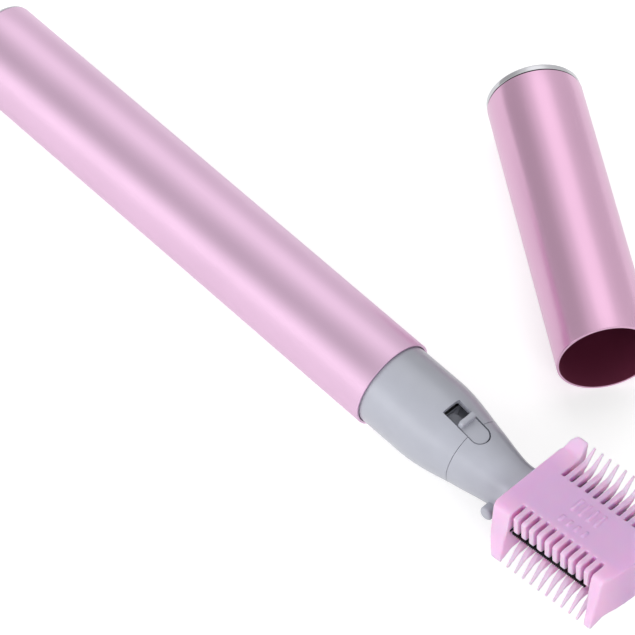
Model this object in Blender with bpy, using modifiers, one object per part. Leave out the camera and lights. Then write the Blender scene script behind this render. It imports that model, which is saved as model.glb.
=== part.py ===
"""Electric eyebrow trimmer: a pen with a slip-on cap and a comb that gives two lengths.

Frame: +X runs along the pen from its tail to its head and +Z is up. The origin is the centre
of the tail plug's flat end face. The head, with its blades and comb, is pitched up a little.
"""
import math

import bmesh
import bpy
import numpy as np
from mathutils import Matrix, Vector

# Clearances and counts shared by all pieces
SEAT_GAP = 0.0003
SLIDE_GAP = 0.0001
CUT_OVERRUN = 0.0010
MERGE_DISTANCE = 0.000001
EDGE_BREAK = 0.00012
ROUND_SIDES = 40
SMALL_SIDES = 16
FILLET_STEPS = 3
BEVEL_STEPS = 2
ARC_STEPS = 8
BOW_STEPS = 9
SHARP_ANGLE = math.radians(35)

# Barrel and tail plug
BARREL_DIAMETER = 0.0160
BARREL_LENGTH = 0.0960
BARREL_WALL = 0.00045
TAIL_FLANGE = 0.0005
CAP_FLANGE = 0.0012
PLUG_SET_BACK = 0.00010
PLUG_SPIGOT = 0.0040
PLUG_WALL = 0.0006
PLUG_EDGE = 0.00035

# Cap, lying beside the pen
CAP_DIAMETER = 0.0167
CAP_LENGTH = 0.0548
CAP_WALL = 0.00050
CAP_SPIGOT = 0.0014
CAP_MOUTH_AHEAD = 0.0197
CAP_MOUTH_ASIDE = 0.0295
CAP_HEADING = math.radians(-33.9)

# Head housing, as shares of its length and of the collar's radius
HEAD_LENGTH = 0.0294
COLLAR_INSERT = 0.0100
HOUSING_WALL = 0.0011
PARTING_PLACE = 0.0180
PARTING_GAP = 0.00025
NOSE_WALL = 0.0019
HOUSING_SIDES = 32
HOUSING_RINGS = 9
EAR_RADIUS = 0.0012
EAR_REACH = 0.0018
EAR_BACK = 0.0026
EAR_DROP = 0.0020
head_profile_shares = (
    (-0.35, 1.00, 1.00, 1.00, 2.0),
    (0.00, 1.00, 1.00, 1.00, 2.0),
    (0.30, 1.00, 1.00, 1.00, 2.0),
    (0.40, 0.97, 0.98, 0.97, 2.0),
    (0.51, 0.89, 0.93, 0.91, 2.0),
    (0.61, 0.80, 0.87, 0.83, 2.0),
    (0.71, 0.72, 0.79, 0.74, 2.05),
    (0.81, 0.63, 0.70, 0.65, 2.15),
    (0.91, 0.56, 0.63, 0.57, 2.4),
    (1.00, 0.57, 0.63, 0.51, 2.8),
)

# Ring that grips the cap and holds the collar in the barrel
RING_PLACE = -0.0055
RING_WIDTH = 0.0012
RING_DEPTH = 0.00045

# Slide switch in the top of the housing
SLOT_START = 0.0124
SLOT_LENGTH = 0.0084
SLOT_WIDTH = 0.0037
SWITCH_TRAVEL = 0.0029
SWITCH_GAP = 0.00018
PAD_SINK = 0.00025
PAD_DEPTH = 0.0019
RIB_LENGTH = 0.0010
RIB_HEIGHT = 0.0013
RIB_BEVEL = 0.00025
FOOT_LENGTH = 0.0044
FOOT_WIDTH = 0.0046
FOOT_DEPTH = 0.0005
SWITCH_BASE_DEPTH = 0.0006
SWITCH_BASE_MARGIN = 0.0004
DENT_RADIUS = 0.0011
SWITCH_LEAF = 0.0002
SWITCH_LEAF_WIDTH = 0.0016

# Battery, its bay and its contacts
CELL_DIAMETER = 0.0105
CELL_LENGTH = 0.0445
CELL_NUB_LENGTH = 0.0010
CELL_NUB_RADIUS = 0.0019
CELL_EDGE = 0.0004
BAY_CLEARANCE = 0.00020
BAY_FRONT = 0.0145
SPRING_LENGTH = 0.0034
SPRING_WIRE = 0.0005
SPRING_TURNS = 4
SPRING_STEPS = 8
SPRING_BIG_RADIUS = 0.0036
SPRING_SMALL_RADIUS = 0.0022
CONTACT_SHEET = 0.0003
CONTACT_HEIGHT = 0.0080
STRIP_WIDTH = 0.0024
CHASSIS_WALL = 0.0012
CHASSIS_FRONT = 0.0100
TONGUE_THICKNESS = 0.0008
TONGUE_WIDTH = 0.0028
TONGUE_MARGIN = 0.0013

# Motor and eccentric
MOTOR_DIAMETER = 0.0080
MOTOR_LENGTH = 0.0130
MOTOR_WALL = 0.0004
MOTOR_FRONT = 0.0078
MOTOR_BOSS_LENGTH = 0.0006
MOTOR_BOSS_RADIUS = 0.0013
MOTOR_CAP_LENGTH = 0.0012
ARMATURE_DIAMETER = 0.0062
ARMATURE_LENGTH = 0.0098
SHAFT_DIAMETER = 0.0010
CAM_DIAMETER = 0.0038
CAM_LENGTH = 0.0024
CAM_THROW = 0.0011
CAM_PIN_DIAMETER = 0.0009
CAM_PIN_LENGTH = 0.0022

# Rocking lever
PIVOT_PLACE = 0.0185
PIVOT_DIAMETER = 0.0012
PIVOT_HEAD_RADIUS = 0.0010
PIVOT_HEAD_HEIGHT = 0.0003
LEVER_FLOOR = -0.0027
LEVER_THICKNESS = 0.0008
LEVER_HUB_RADIUS = 0.0013
LEVER_ARM_WIDTH = 0.0020
FORK_LENGTH = 0.0020
FORK_PRONG = 0.0009
FORK_TOP = 0.0015
SIDE_ARM = 0.0021
SIDE_ARM_END_RADIUS = 0.0008
DRIVE_PIN_RADIUS = 0.00035
DRIVE_PIN_TOP = 0.0024

# Blades, in the head's own frame: X along the blade, Z square to it
HEAD_PLACE = 0.0307
HEAD_RISE = 0.0025
HEAD_PITCH = math.radians(8.0)
BLADE_LENGTH = 0.0190
BLADE_HALF_WIDTH = 0.0078
FIXED_SHEET = 0.00035
BLADE_SHEET = 0.00025
BLADE_TEETH = 22
TOOTH_DEPTH = 0.0011
BLADE_END_MARGIN = 0.0009
MOVING_BLADE_INSET = 0.0003
FRAME_THICKNESS = 0.00115
FRAME_HALF_WIDTH = 0.0041
FRAME_TAIL_HALF_WIDTH = 0.0022
FRAME_TAIL_LENGTH = 0.0036
FRAME_CORNER = 0.0012
RIVET_RADIUS = 0.0006
RIVET_HEAD_RADIUS = 0.0011
RIVET_HEAD_HEIGHT = 0.00025
RETAINER_SHEET = 0.0004
RETAINER_HALF_WIDTH = 0.0036
RETAINER_BACK_MARGIN = 0.0021
RETAINER_FRONT_MARGIN = 0.0014
DRIVER_THICKNESS = 0.0006
DRIVER_WIDTH = 0.0010
DRIVER_FOOT_START = 0.0006
DRIVER_FOOT_LENGTH = 0.0020
DRIVER_FOOT_HALF_WIDTH = 0.0030
DRIVER_END_RADIUS = 0.0010
rivet_place_shares = (0.30, 0.84)
tooth_shares = (0.10, 0.32, 0.68, 0.90)

# Comb, in the head's own frame, about its own centre line
COMB_START = -0.0007
COMB_OVERHANG = 0.0052
COMB_HALF_HEIGHT = 0.00424
COMB_PLATE = 0.0014
COMB_SHORT_REACH = 0.0081
COMB_LEVEL_REACH = 0.0077
COMB_LONG_REACH = 0.0102
COMB_TIP_RISE = 0.0019
COMB_TIP_ROUND = 0.0003
COMB_TIP_HEIGHT = 0.0005
COMB_CORNER = 0.0009
COMB_RIB_ROUND = 0.0005
COMB_NECK_WALL = 0.00378
COMB_END_WALL = 0.00321
COMB_SLOTS = 11
COMB_SLOT_WIDTH = 0.00075
COMB_SHORT_SLOT_DEPTH = 0.0031
COMB_LONG_SLOT_START = 0.0035
COMB_RIB_END = 0.0005
COMB_TIP_WIDTH = 0.00026
COMB_BULGE = 0.0016
COMB_PLAN_CORNER = 0.0032
COMB_OPENING_CLEARANCE = 0.0002
COMB_WINDOW_WIDTH = 0.0056
COMB_WINDOW_HEIGHT = 0.0044
COMB_WINDOW_PLACE = 0.0024

# Worked out from the sizes above
BARREL_RADIUS = BARREL_DIAMETER / 2
BORE_RADIUS = BARREL_RADIUS - BARREL_WALL
COLLAR_RADIUS = BORE_RADIUS - SLIDE_GAP
BARREL_BACK = TAIL_FLANGE + SLIDE_GAP
RIM = BARREL_BACK + BARREL_LENGTH
CAP_RADIUS = CAP_DIAMETER / 2
CAP_BORE = CAP_RADIUS - CAP_WALL
CELL_RADIUS = CELL_DIAMETER / 2
BAY_RADIUS = CELL_RADIUS + BAY_CLEARANCE
CHASSIS_RADIUS = BORE_RADIUS - SEAT_GAP
CHASSIS_NOSE_RADIUS = COLLAR_RADIUS - HOUSING_WALL - SEAT_GAP
MOTOR_RADIUS = MOTOR_DIAMETER / 2
MOTOR_POCKET = MOTOR_RADIUS + SLIDE_GAP
SHAFT_RADIUS = SHAFT_DIAMETER / 2
CAM_RADIUS = CAM_DIAMETER / 2
CAM_PIN_RADIUS = CAM_PIN_DIAMETER / 2
PIVOT_RADIUS = PIVOT_DIAMETER / 2
CAM_BACK = MOTOR_FRONT + MOTOR_BOSS_LENGTH + SEAT_GAP
CAM_PIN_END = CAM_BACK + CAM_LENGTH + CAM_PIN_LENGTH
FORK_ARM = PIVOT_PLACE - CAM_PIN_END + CAM_PIN_LENGTH / 2
CUTTER_STROKE = SIDE_ARM * CAM_THROW / FORK_ARM
COMB_LENGTH = BLADE_LENGTH + COMB_OVERHANG
COMB_RUN = COMB_LENGTH - COMB_NECK_WALL - COMB_END_WALL
COMB_SLOT_PITCH = (COMB_RUN - COMB_SLOT_WIDTH) / (COMB_SLOTS - 1)


def clear_scene():
    for thing in list(bpy.data.objects):
        bpy.data.objects.remove(thing, do_unlink=True)


def new_collection(name):
    collection = bpy.data.collections.new(name)
    bpy.context.scene.collection.children.link(collection)
    return collection


def finish(name, colour, roughness, metallic=0.0):
    """A Principled material with the piece's plain colour."""
    material = bpy.data.materials.new(name)
    material.use_nodes = True
    shader = material.node_tree.nodes["Principled BSDF"]
    shader.inputs["Base Color"].default_value = (*colour, 1.0)
    shader.inputs["Roughness"].default_value = roughness
    shader.inputs["Metallic"].default_value = metallic
    material.diffuse_color = (*colour, 1.0)
    return material


def add(name, mesh, material=None, parent=None):
    """Put a mesh in the part's collection, or among the cutters if it has no material."""
    thing = bpy.data.objects.new(name, mesh)
    if material is None:
        cutters.objects.link(thing)
        thing.hide_render = True
        thing.display_type = "WIRE"
    else:
        part.objects.link(thing)
        mesh.materials.append(material)
    thing.parent = parent
    return thing


def empty(name, location, turn=(0, 0, 0)):
    guide = bpy.data.objects.new(name, None)
    part.objects.link(guide)
    guide.location = location
    guide.rotation_euler = turn
    return guide


def apply_boolean(thing, tool, operation):
    modifier = thing.modifiers.new(tool.name, "BOOLEAN")
    modifier.operation = operation
    modifier.solver = "EXACT"
    modifier.object = tool
    return modifier


def cut(thing, tool):
    apply_boolean(thing, tool, "DIFFERENCE")


def fuse(thing, tool):
    apply_boolean(thing, tool, "UNION")


def shade_round(mesh):
    mesh.shade_smooth()
    mesh.set_sharp_from_angle(angle=SHARP_ANGLE)


def turned(name, profile, material=None, parent=None, closed=False, sides=ROUND_SIDES):
    """Turn a profile of (radius, height) points about the local Z axis, top to bottom outside."""
    count = len(profile)
    mesh = bpy.data.meshes.new(name)
    edges = [(i, i + 1) for i in range(count - 1)]
    if closed:
        edges.append((count - 1, 0))
    mesh.from_pydata([(radius, 0, height) for radius, height in profile], edges, [])
    thing = add(name, mesh, material, parent)
    screw = thing.modifiers.new("turn", "SCREW")
    screw.axis = "Z"
    screw.steps = sides
    screw.render_steps = sides
    screw.use_merge_vertices = True
    screw.merge_threshold = MERGE_DISTANCE
    screw.use_smooth_shade = True
    return thing


def along_x(thing, location):
    """Lay a turned piece down so that its axis points along +X from the location."""
    thing.location = location
    thing.rotation_euler = (0, math.pi / 2, 0)
    return thing


def box(name, low, high, material=None, parent=None, bevel=0):
    """A box between two corners."""
    low, high = Vector(low), Vector(high)
    mesh = bpy.data.meshes.new(name)
    shape = bmesh.new()
    size = Matrix.Diagonal((*(high - low), 1))
    bmesh.ops.create_cube(shape, size=1, matrix=Matrix.Translation((low + high) / 2) @ size)
    shape.to_mesh(mesh)
    shape.free()
    thing = add(name, mesh, material, parent)
    if bevel:
        rounding = thing.modifiers.new("edges", "BEVEL")
        rounding.width = bevel
        rounding.segments = BEVEL_STEPS
    return thing


def rod(name, start, end, radius, material=None, parent=None, sides=SMALL_SIDES):
    """A cylinder from one point to another."""
    start, end = Vector(start), Vector(end)
    run = end - start
    turn = run.to_track_quat("Z", "Y").to_matrix().to_4x4()
    mesh = bpy.data.meshes.new(name)
    shape = bmesh.new()
    bmesh.ops.create_cone(
        shape, cap_ends=True, segments=sides, radius1=radius, radius2=radius, depth=run.length,
        matrix=Matrix.Translation((start + end) / 2) @ turn)
    shape.to_mesh(mesh)
    shape.free()
    return add(name, mesh, material, parent)


def slab(name, outline, low, high, material=None, parent=None, holes=(), turn=None):
    """Extrude a flat outline, with holes, from one height to another along local Z."""
    curve = bpy.data.curves.new(name, "CURVE")
    curve.dimensions = "2D"
    curve.fill_mode = "BOTH"
    curve.extrude = (high - low) / 2
    for loop in (outline, *holes):
        spline = curve.splines.new("POLY")
        spline.points.add(len(loop) - 1)
        for point, (x, y) in zip(spline.points, loop):
            point.co = (x, y, 0, 1)
        spline.use_cyclic_u = True
    source = bpy.data.objects.new(name, curve)
    bpy.context.scene.collection.objects.link(source)
    evaluated = source.evaluated_get(bpy.context.evaluated_depsgraph_get())
    mesh = bpy.data.meshes.new_from_object(evaluated)
    bpy.data.objects.remove(source, do_unlink=True)
    bpy.data.curves.remove(curve)
    mesh.name = name
    shape = bmesh.new()
    shape.from_mesh(mesh)
    bmesh.ops.remove_doubles(shape, verts=shape.verts, dist=MERGE_DISTANCE)
    bmesh.ops.translate(shape, verts=shape.verts, vec=(0, 0, (low + high) / 2))
    if turn is not None:
        bmesh.ops.transform(shape, matrix=turn, verts=shape.verts)
    bmesh.ops.recalc_face_normals(shape, faces=shape.faces)
    shape.to_mesh(mesh)
    shape.free()
    mesh.materials.clear()
    mesh.shade_flat()
    return add(name, mesh, material, parent)


# Turns an outline drawn in (across, up) so that it runs along X
ACROSS_TO_X = Matrix(((0, 0, 1, 0), (1, 0, 0, 0), (0, 1, 0, 0), (0, 0, 0, 1)))
# Turns an outline drawn in (along, up) so that it runs along -Y
ALONG_TO_Y = Matrix(((1, 0, 0, 0), (0, 0, -1, 0), (0, 1, 0, 0), (0, 0, 0, 1)))


def circle(centre, radius, sides=SMALL_SIDES):
    return [
        (centre[0] + radius * math.cos(math.tau * i / sides),
         centre[1] + radius * math.sin(math.tau * i / sides))
        for i in range(sides)]


def rounded(corners, radii, steps=FILLET_STEPS):
    """Round each corner of a polygon with an arc of its own radius (zero keeps it sharp)."""
    points = []
    count = len(corners)
    for i, corner in enumerate(corners):
        radius = radii[i] if isinstance(radii, (list, tuple)) else radii
        here = Vector(corner)
        if not radius:
            points.append(tuple(here))
            continue
        before = (Vector(corners[i - 1]) - here).normalized()
        after = (Vector(corners[(i + 1) % count]) - here).normalized()
        half = before.angle(after) / 2
        run = radius / math.tan(half)
        centre = here + (before + after).normalized() * radius / math.sin(half)
        start = here + before * run - centre
        end = here + after * run - centre
        sweep = math.atan2(start.cross(end), start.dot(end))
        for step in range(steps + 1):
            turn = Matrix.Rotation(sweep * step / steps, 2)
            points.append(tuple(centre + turn @ start))
    return points


def half_turned(points):
    """A loop made of the points and the same points turned half a turn about the origin."""
    return list(points) + [(-x, -y) for x, y in points]


def head_section(place):
    """Half width, top, bottom and squareness of the housing at a distance ahead of the rim."""
    table = np.array(head_profile_shares)
    share = place / HEAD_LENGTH
    step = int(np.clip(np.searchsorted(table[:, 0], share) - 1, 0, len(table) - 2))
    before = table[max(step - 1, 0)]
    here, there = table[step], table[step + 1]
    after = table[min(step + 2, len(table) - 1)]
    t = float(np.clip((share - here[0]) / (there[0] - here[0]), 0, 1))
    rise_here = (there - before) / (there[0] - before[0]) * (there[0] - here[0])
    rise_there = (after - here) / (after[0] - here[0]) * (there[0] - here[0])
    value = (
        (2 * t ** 3 - 3 * t ** 2 + 1) * here + (t ** 3 - 2 * t ** 2 + t) * rise_here
        + (3 * t ** 2 - 2 * t ** 3) * there + (t ** 3 - t ** 2) * rise_there)
    width, top, bottom = np.minimum(value[1:4], 1) * COLLAR_RADIUS
    return width, top, bottom, value[4]


def housing_half_width(place, height, wall):
    """Half width of the housing's inside at one height above the axis."""
    width, top, _, power = head_section(place)
    share = min(abs(height) / (top - wall), 1)
    return (width - wall) * (1 - share ** power) ** (1 / power)


def housing_solid(name, start, end, rings, inset, material=None):
    """Loft between the housing's rounded sections, each drawn in by the inset."""
    shape = bmesh.new()
    loops = []
    for place in np.linspace(start, end, rings):
        width, top, bottom, power = head_section(place)
        loop = []
        for i in range(HOUSING_SIDES):
            angle = math.tau * i / HOUSING_SIDES
            c, s = math.cos(angle), math.sin(angle)
            across = math.copysign(abs(c) ** (2 / power), c) * (width - inset)
            tall = (top if s > 0 else bottom) - inset
            up = math.copysign(abs(s) ** (2 / power), s) * tall
            loop.append(shape.verts.new((RIM + place, across, up)))
        loops.append(loop)
    for near, far in zip(loops, loops[1:]):
        for i in range(HOUSING_SIDES):
            j = (i + 1) % HOUSING_SIDES
            shape.faces.new((near[i], near[j], far[j], far[i]))
    shape.faces.new(loops[0][::-1])
    shape.faces.new(loops[-1])
    bmesh.ops.recalc_face_normals(shape, faces=shape.faces)
    mesh = bpy.data.meshes.new(name)
    shape.to_mesh(mesh)
    shape.free()
    shade_round(mesh)
    return add(name, mesh, material)


def plug_profile(radius, bore, thickness, spigot_length):
    """A cup-shaped plug: floor, open spigot and a flange with a broken edge, outer end at zero."""
    spigot = bore - SLIDE_GAP
    top = thickness + spigot_length
    flange = radius - PLUG_SET_BACK
    return [
        (0, thickness), (spigot - PLUG_WALL, thickness), (spigot - PLUG_WALL, top),
        (spigot - EDGE_BREAK, top), (spigot, top - EDGE_BREAK), (spigot, thickness),
        (flange, thickness), (flange, PLUG_EDGE), (flange - PLUG_EDGE, 0), (0, 0)]


def tube_profile(radius, bore, length):
    """A tube whose outer edges are broken, standing on zero."""
    return [
        (radius - EDGE_BREAK, length), (radius, length - EDGE_BREAK), (radius, EDGE_BREAK),
        (radius - EDGE_BREAK, 0), (bore, 0), (bore, length)]


def make_barrel():
    tube = turned(
        "barrel_tube", tube_profile(BARREL_RADIUS, BORE_RADIUS, BARREL_LENGTH), pink, closed=True)
    along_x(tube, (BARREL_BACK, 0, 0))
    plug = turned(
        "tail_plug", plug_profile(BARREL_RADIUS, BORE_RADIUS, TAIL_FLANGE, PLUG_SPIGOT), chrome)
    along_x(plug, (0, 0, 0))


def make_cap():
    """The cap lies on the surface that the barrel lies on, mouth towards the comb."""
    whole = CAP_LENGTH + CAP_FLANGE + SLIDE_GAP
    toward = Vector((math.cos(CAP_HEADING), math.sin(CAP_HEADING), 0))
    mouth = Vector((RIM + CAP_MOUTH_AHEAD, CAP_MOUTH_ASIDE, CAP_RADIUS - BARREL_RADIUS))
    frame = empty("cap_frame", mouth - toward * whole, (0, math.pi / 2, CAP_HEADING))
    tube = turned(
        "cap_tube", tube_profile(CAP_RADIUS, CAP_BORE, CAP_LENGTH), pink, frame, closed=True)
    tube.location = (0, 0, CAP_FLANGE + SLIDE_GAP)
    turned(
        "cap_plug", plug_profile(CAP_RADIUS, CAP_BORE, CAP_FLANGE, CAP_SPIGOT), chrome, frame)


def switch_frame_values():
    """Place, height and slope of the switch slot on the housing's top."""
    middle = SLOT_START + SLOT_LENGTH / 2
    back = head_section(SLOT_START)[1]
    front = head_section(SLOT_START + SLOT_LENGTH)[1]
    return middle, (back + front) / 2, math.atan2(back - front, SLOT_LENGTH)


def slot_outline(start, end, half_width, sides=SMALL_SIDES // 2):
    """Square at the barrel end and half round at the head end."""
    centre = end - half_width
    arc = [
        (centre + half_width * math.sin(math.pi * i / sides),
         -half_width * math.cos(math.pi * i / sides))
        for i in range(sides + 1)]
    return [(start, half_width), (start, -half_width)] + arc


def make_housing(slot_frame):
    collar = housing_solid(
        "collar_housing", -COLLAR_INSERT, PARTING_PLACE, HOUSING_RINGS + 2, 0, grey)
    collar_hollow = housing_solid(
        "collar_hollow", -COLLAR_INSERT - CUT_OVERRUN, PARTING_PLACE + CUT_OVERRUN,
        HOUSING_RINGS + 2, HOUSING_WALL)
    neck = housing_solid(
        "neck_housing", PARTING_PLACE + PARTING_GAP, HEAD_LENGTH, HOUSING_RINGS, 0, grey)
    neck_hollow = housing_solid(
        "neck_hollow", PARTING_PLACE - CUT_OVERRUN, HEAD_LENGTH - NOSE_WALL,
        HOUSING_RINGS, HOUSING_WALL)
    cut(collar, collar_hollow)
    cut(neck, neck_hollow)
    ring_bottom = COLLAR_RADIUS - RING_DEPTH - SLIDE_GAP
    groove = turned("ring_groove", [
        (COLLAR_RADIUS + CUT_OVERRUN, RING_WIDTH / 2 + SLIDE_GAP),
        (COLLAR_RADIUS + CUT_OVERRUN, -RING_WIDTH / 2 - SLIDE_GAP),
        (ring_bottom, -RING_WIDTH / 2 - SLIDE_GAP),
        (ring_bottom, RING_WIDTH / 2 + SLIDE_GAP)], closed=True)
    along_x(groove, (RIM + RING_PLACE, 0, 0))
    cut(collar, groove)
    ring_top = COLLAR_RADIUS - EDGE_BREAK / 2
    ring = turned("retaining_ring", [
        (ring_top, RING_WIDTH / 4), (ring_top, -RING_WIDTH / 4),
        (ring_bottom + SLIDE_GAP, -RING_WIDTH / 2),
        (ring_bottom + SLIDE_GAP, RING_WIDTH / 2)], rubber, closed=True)
    along_x(ring, (RIM + RING_PLACE, 0, 0))
    slot = slab(
        "switch_slot", slot_outline(-SLOT_LENGTH / 2, SLOT_LENGTH / 2, SLOT_WIDTH / 2),
        -PAD_DEPTH - CUT_OVERRUN, HOUSING_WALL, parent=slot_frame)
    cut(collar, slot)
    cut(neck, slot)
    for side in (-1, 1):
        place = HEAD_LENGTH - EAR_BACK
        reach = head_section(place)[0]
        ear = rod(
            "release_ear", (RIM + place, side * (reach - HOUSING_WALL), -EAR_DROP),
            (RIM + place, side * (reach + EAR_REACH), -EAR_DROP), EAR_RADIUS)
        fuse(neck, ear)
    return neck


def make_switch(slot_frame, tilt):
    half = SLOT_LENGTH / 2
    pad_start = -half + SWITCH_TRAVEL + SWITCH_GAP
    pad_half = SLOT_WIDTH / 2 - SWITCH_GAP
    top = -PAD_SINK
    foot_top = -PAD_DEPTH
    slider = slab(
        "switch_slider", slot_outline(pad_start, half - SWITCH_GAP, pad_half),
        foot_top - FOOT_DEPTH / 2, top, grey, slot_frame)
    rib = box(
        "switch_rib", (pad_start + SLIDE_GAP, -pad_half + SLIDE_GAP, top - RIB_LENGTH),
        (pad_start + SLIDE_GAP + RIB_LENGTH, pad_half - SLIDE_GAP, top + RIB_HEIGHT),
        parent=slot_frame, bevel=RIB_BEVEL)
    fuse(slider, rib)
    foot_start = pad_start + SWITCH_GAP
    foot = box(
        "switch_foot", (foot_start, -FOOT_WIDTH / 2, foot_top - FOOT_DEPTH),
        (foot_start + FOOT_LENGTH, FOOT_WIDTH / 2, foot_top), parent=slot_frame)
    fuse(slider, foot)

    base_top = foot_top - FOOT_DEPTH - SEAT_GAP
    base_low = base_top - SWITCH_BASE_DEPTH
    middle, height, _ = switch_frame_values()
    ends = []
    for local in (-half, half):
        place = middle + local * math.cos(tilt)
        level = height + base_top - local * math.sin(tilt)
        ends.append(housing_half_width(place, level, HOUSING_WALL) - SWITCH_BASE_MARGIN)
    outline = [(-half, -ends[0]), (half, -ends[1]), (half, ends[1]), (-half, ends[0])]
    dent = circle((-half + SWITCH_TRAVEL / 2, 0), DENT_RADIUS)
    slab("switch_base", outline, base_low, base_top, grey, slot_frame, holes=[dent])
    leaf_top = base_low - SLIDE_GAP
    slab("switch_contact", [
        (-half, leaf_top), (-half, leaf_top - SWITCH_LEAF),
        (0, leaf_top - SWITCH_LEAF), (half / 2, leaf_top - SWITCH_LEAF - SWITCH_LEAF_WIDTH / 2),
        (half / 2 + SWITCH_LEAF, leaf_top - SWITCH_LEAF_WIDTH / 2), (SWITCH_LEAF, leaf_top)],
        -SWITCH_LEAF_WIDTH / 2, SWITCH_LEAF_WIDTH / 2, copper, slot_frame, turn=ALONG_TO_Y)


def make_chassis():
    """Battery bay behind the rim, motor pocket inside the collar and a tongue for the lever."""
    bay_back = BAY_FRONT + CELL_LENGTH + SPRING_LENGTH + 2 * SEAT_GAP + 2 * CONTACT_SHEET
    back = bay_back + CHASSIS_WALL
    step = COLLAR_INSERT + SEAT_GAP
    chassis = turned("battery_chassis", [
        (0, CHASSIS_FRONT), (CHASSIS_NOSE_RADIUS, CHASSIS_FRONT), (CHASSIS_NOSE_RADIUS, -step),
        (CHASSIS_RADIUS, -step), (CHASSIS_RADIUS, -back), (0, -back)], white)
    along_x(chassis, (RIM, 0, 0))
    bay = rod("bay_hollow", (RIM - bay_back, 0, 0), (RIM - BAY_FRONT, 0, 0), BAY_RADIUS,
              sides=ROUND_SIDES)
    bay_mouth = box(
        "bay_mouth", (RIM - bay_back, -BAY_RADIUS, 0),
        (RIM - BAY_FRONT, BAY_RADIUS, CHASSIS_RADIUS + CUT_OVERRUN))
    pocket_back = MOTOR_FRONT - MOTOR_LENGTH - MOTOR_CAP_LENGTH - 2 * SEAT_GAP
    pocket = rod(
        "motor_pocket", (RIM + pocket_back, 0, 0), (RIM + CHASSIS_FRONT + CUT_OVERRUN, 0, 0),
        MOTOR_POCKET, sides=ROUND_SIDES)
    groove_floor = CHASSIS_NOSE_RADIUS - 2 * CONTACT_SHEET - SEAT_GAP
    strip_groove = box(
        "strip_groove", (RIM - BAY_FRONT - CUT_OVERRUN, -STRIP_WIDTH / 2 - SEAT_GAP, groove_floor),
        (RIM + CHASSIS_FRONT + CUT_OVERRUN, STRIP_WIDTH / 2 + SEAT_GAP,
         CHASSIS_RADIUS + CUT_OVERRUN))
    for tool in (bay, bay_mouth, pocket, strip_groove):
        cut(chassis, tool)

    reach = PIVOT_PLACE + TONGUE_MARGIN
    low_back = -(MOTOR_POCKET + TONGUE_THICKNESS / 2 + SLIDE_GAP)
    low_front = LEVER_FLOOR - SEAT_GAP
    root = CHASSIS_FRONT - CHASSIS_WALL
    tongue = slab("lever_tongue", [
        (RIM + root, low_back), (RIM + root, low_back - TONGUE_THICKNESS),
        (RIM + CHASSIS_FRONT + CHASSIS_WALL, low_back - TONGUE_THICKNESS),
        (RIM + PIVOT_PLACE - TONGUE_MARGIN, low_front - TONGUE_THICKNESS),
        (RIM + reach, low_front - TONGUE_THICKNESS), (RIM + reach, low_front),
        (RIM + PIVOT_PLACE - TONGUE_MARGIN, low_front),
        (RIM + CHASSIS_FRONT + CHASSIS_WALL, low_back)],
        -TONGUE_WIDTH / 2, TONGUE_WIDTH / 2, turn=ALONG_TO_Y)
    fuse(chassis, tongue)
    pin_hole = rod(
        "pivot_hole", (RIM + PIVOT_PLACE, 0, low_front - TONGUE_THICKNESS - CUT_OVERRUN),
        (RIM + PIVOT_PLACE, 0, low_front + CUT_OVERRUN), PIVOT_RADIUS + SLIDE_GAP)
    cut(chassis, pin_hole)
    return bay_back


def make_battery(bay_back):
    cell_front = -BAY_FRONT - CONTACT_SHEET - 2 * SLIDE_GAP
    cell_back = cell_front - CELL_LENGTH
    cell = turned("battery_cell", [
        (0, CELL_LENGTH), (CELL_NUB_RADIUS, CELL_LENGTH),
        (CELL_NUB_RADIUS, CELL_LENGTH - CELL_NUB_LENGTH),
        (CELL_RADIUS - CELL_EDGE, CELL_LENGTH - CELL_NUB_LENGTH),
        (CELL_RADIUS, CELL_LENGTH - CELL_NUB_LENGTH - CELL_EDGE), (CELL_RADIUS, CELL_EDGE),
        (CELL_RADIUS - CELL_EDGE, 0), (0, 0)], jacket, sides=ROUND_SIDES // 2)
    along_x(cell, (RIM + cell_back, 0, 0))

    plate_x = RIM - bay_back + SLIDE_GAP
    half = CONTACT_HEIGHT / 2
    box("spring_plate", (plate_x, -half, -half / 2), (plate_x + CONTACT_SHEET, half, half), steel)
    coil_start = plate_x + CONTACT_SHEET + SLIDE_GAP + SPRING_WIRE / 2
    coil_end = RIM + cell_back - SLIDE_GAP - SPRING_WIRE / 2
    steps = SPRING_TURNS * SPRING_STEPS
    curve = bpy.data.curves.new("battery_spring", "CURVE")
    curve.dimensions = "3D"
    curve.bevel_depth = SPRING_WIRE / 2
    curve.bevel_resolution = 2
    curve.use_fill_caps = True
    spline = curve.splines.new("POLY")
    spline.points.add(steps)
    for i, point in enumerate(spline.points):
        t = i / steps
        radius = SPRING_BIG_RADIUS + (SPRING_SMALL_RADIUS - SPRING_BIG_RADIUS) * t
        angle = math.tau * SPRING_TURNS * t
        point.co = (
            coil_start + (coil_end - coil_start) * t,
            radius * math.cos(angle), radius * math.sin(angle), 1)
    curve.materials.append(steel)
    part.objects.link(bpy.data.objects.new("battery_spring", curve))

    leaf_x = RIM - BAY_FRONT - SLIDE_GAP
    level = CHASSIS_NOSE_RADIUS - CONTACT_SHEET
    slab("positive_contact", [
        (leaf_x - CONTACT_SHEET, -half / 2), (leaf_x, -half / 2),
        (leaf_x, level - CONTACT_SHEET), (RIM + CHASSIS_FRONT, level - CONTACT_SHEET),
        (RIM + CHASSIS_FRONT, level), (leaf_x - CONTACT_SHEET, level)],
        -STRIP_WIDTH / 2, STRIP_WIDTH / 2, copper, turn=ALONG_TO_Y)


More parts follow.
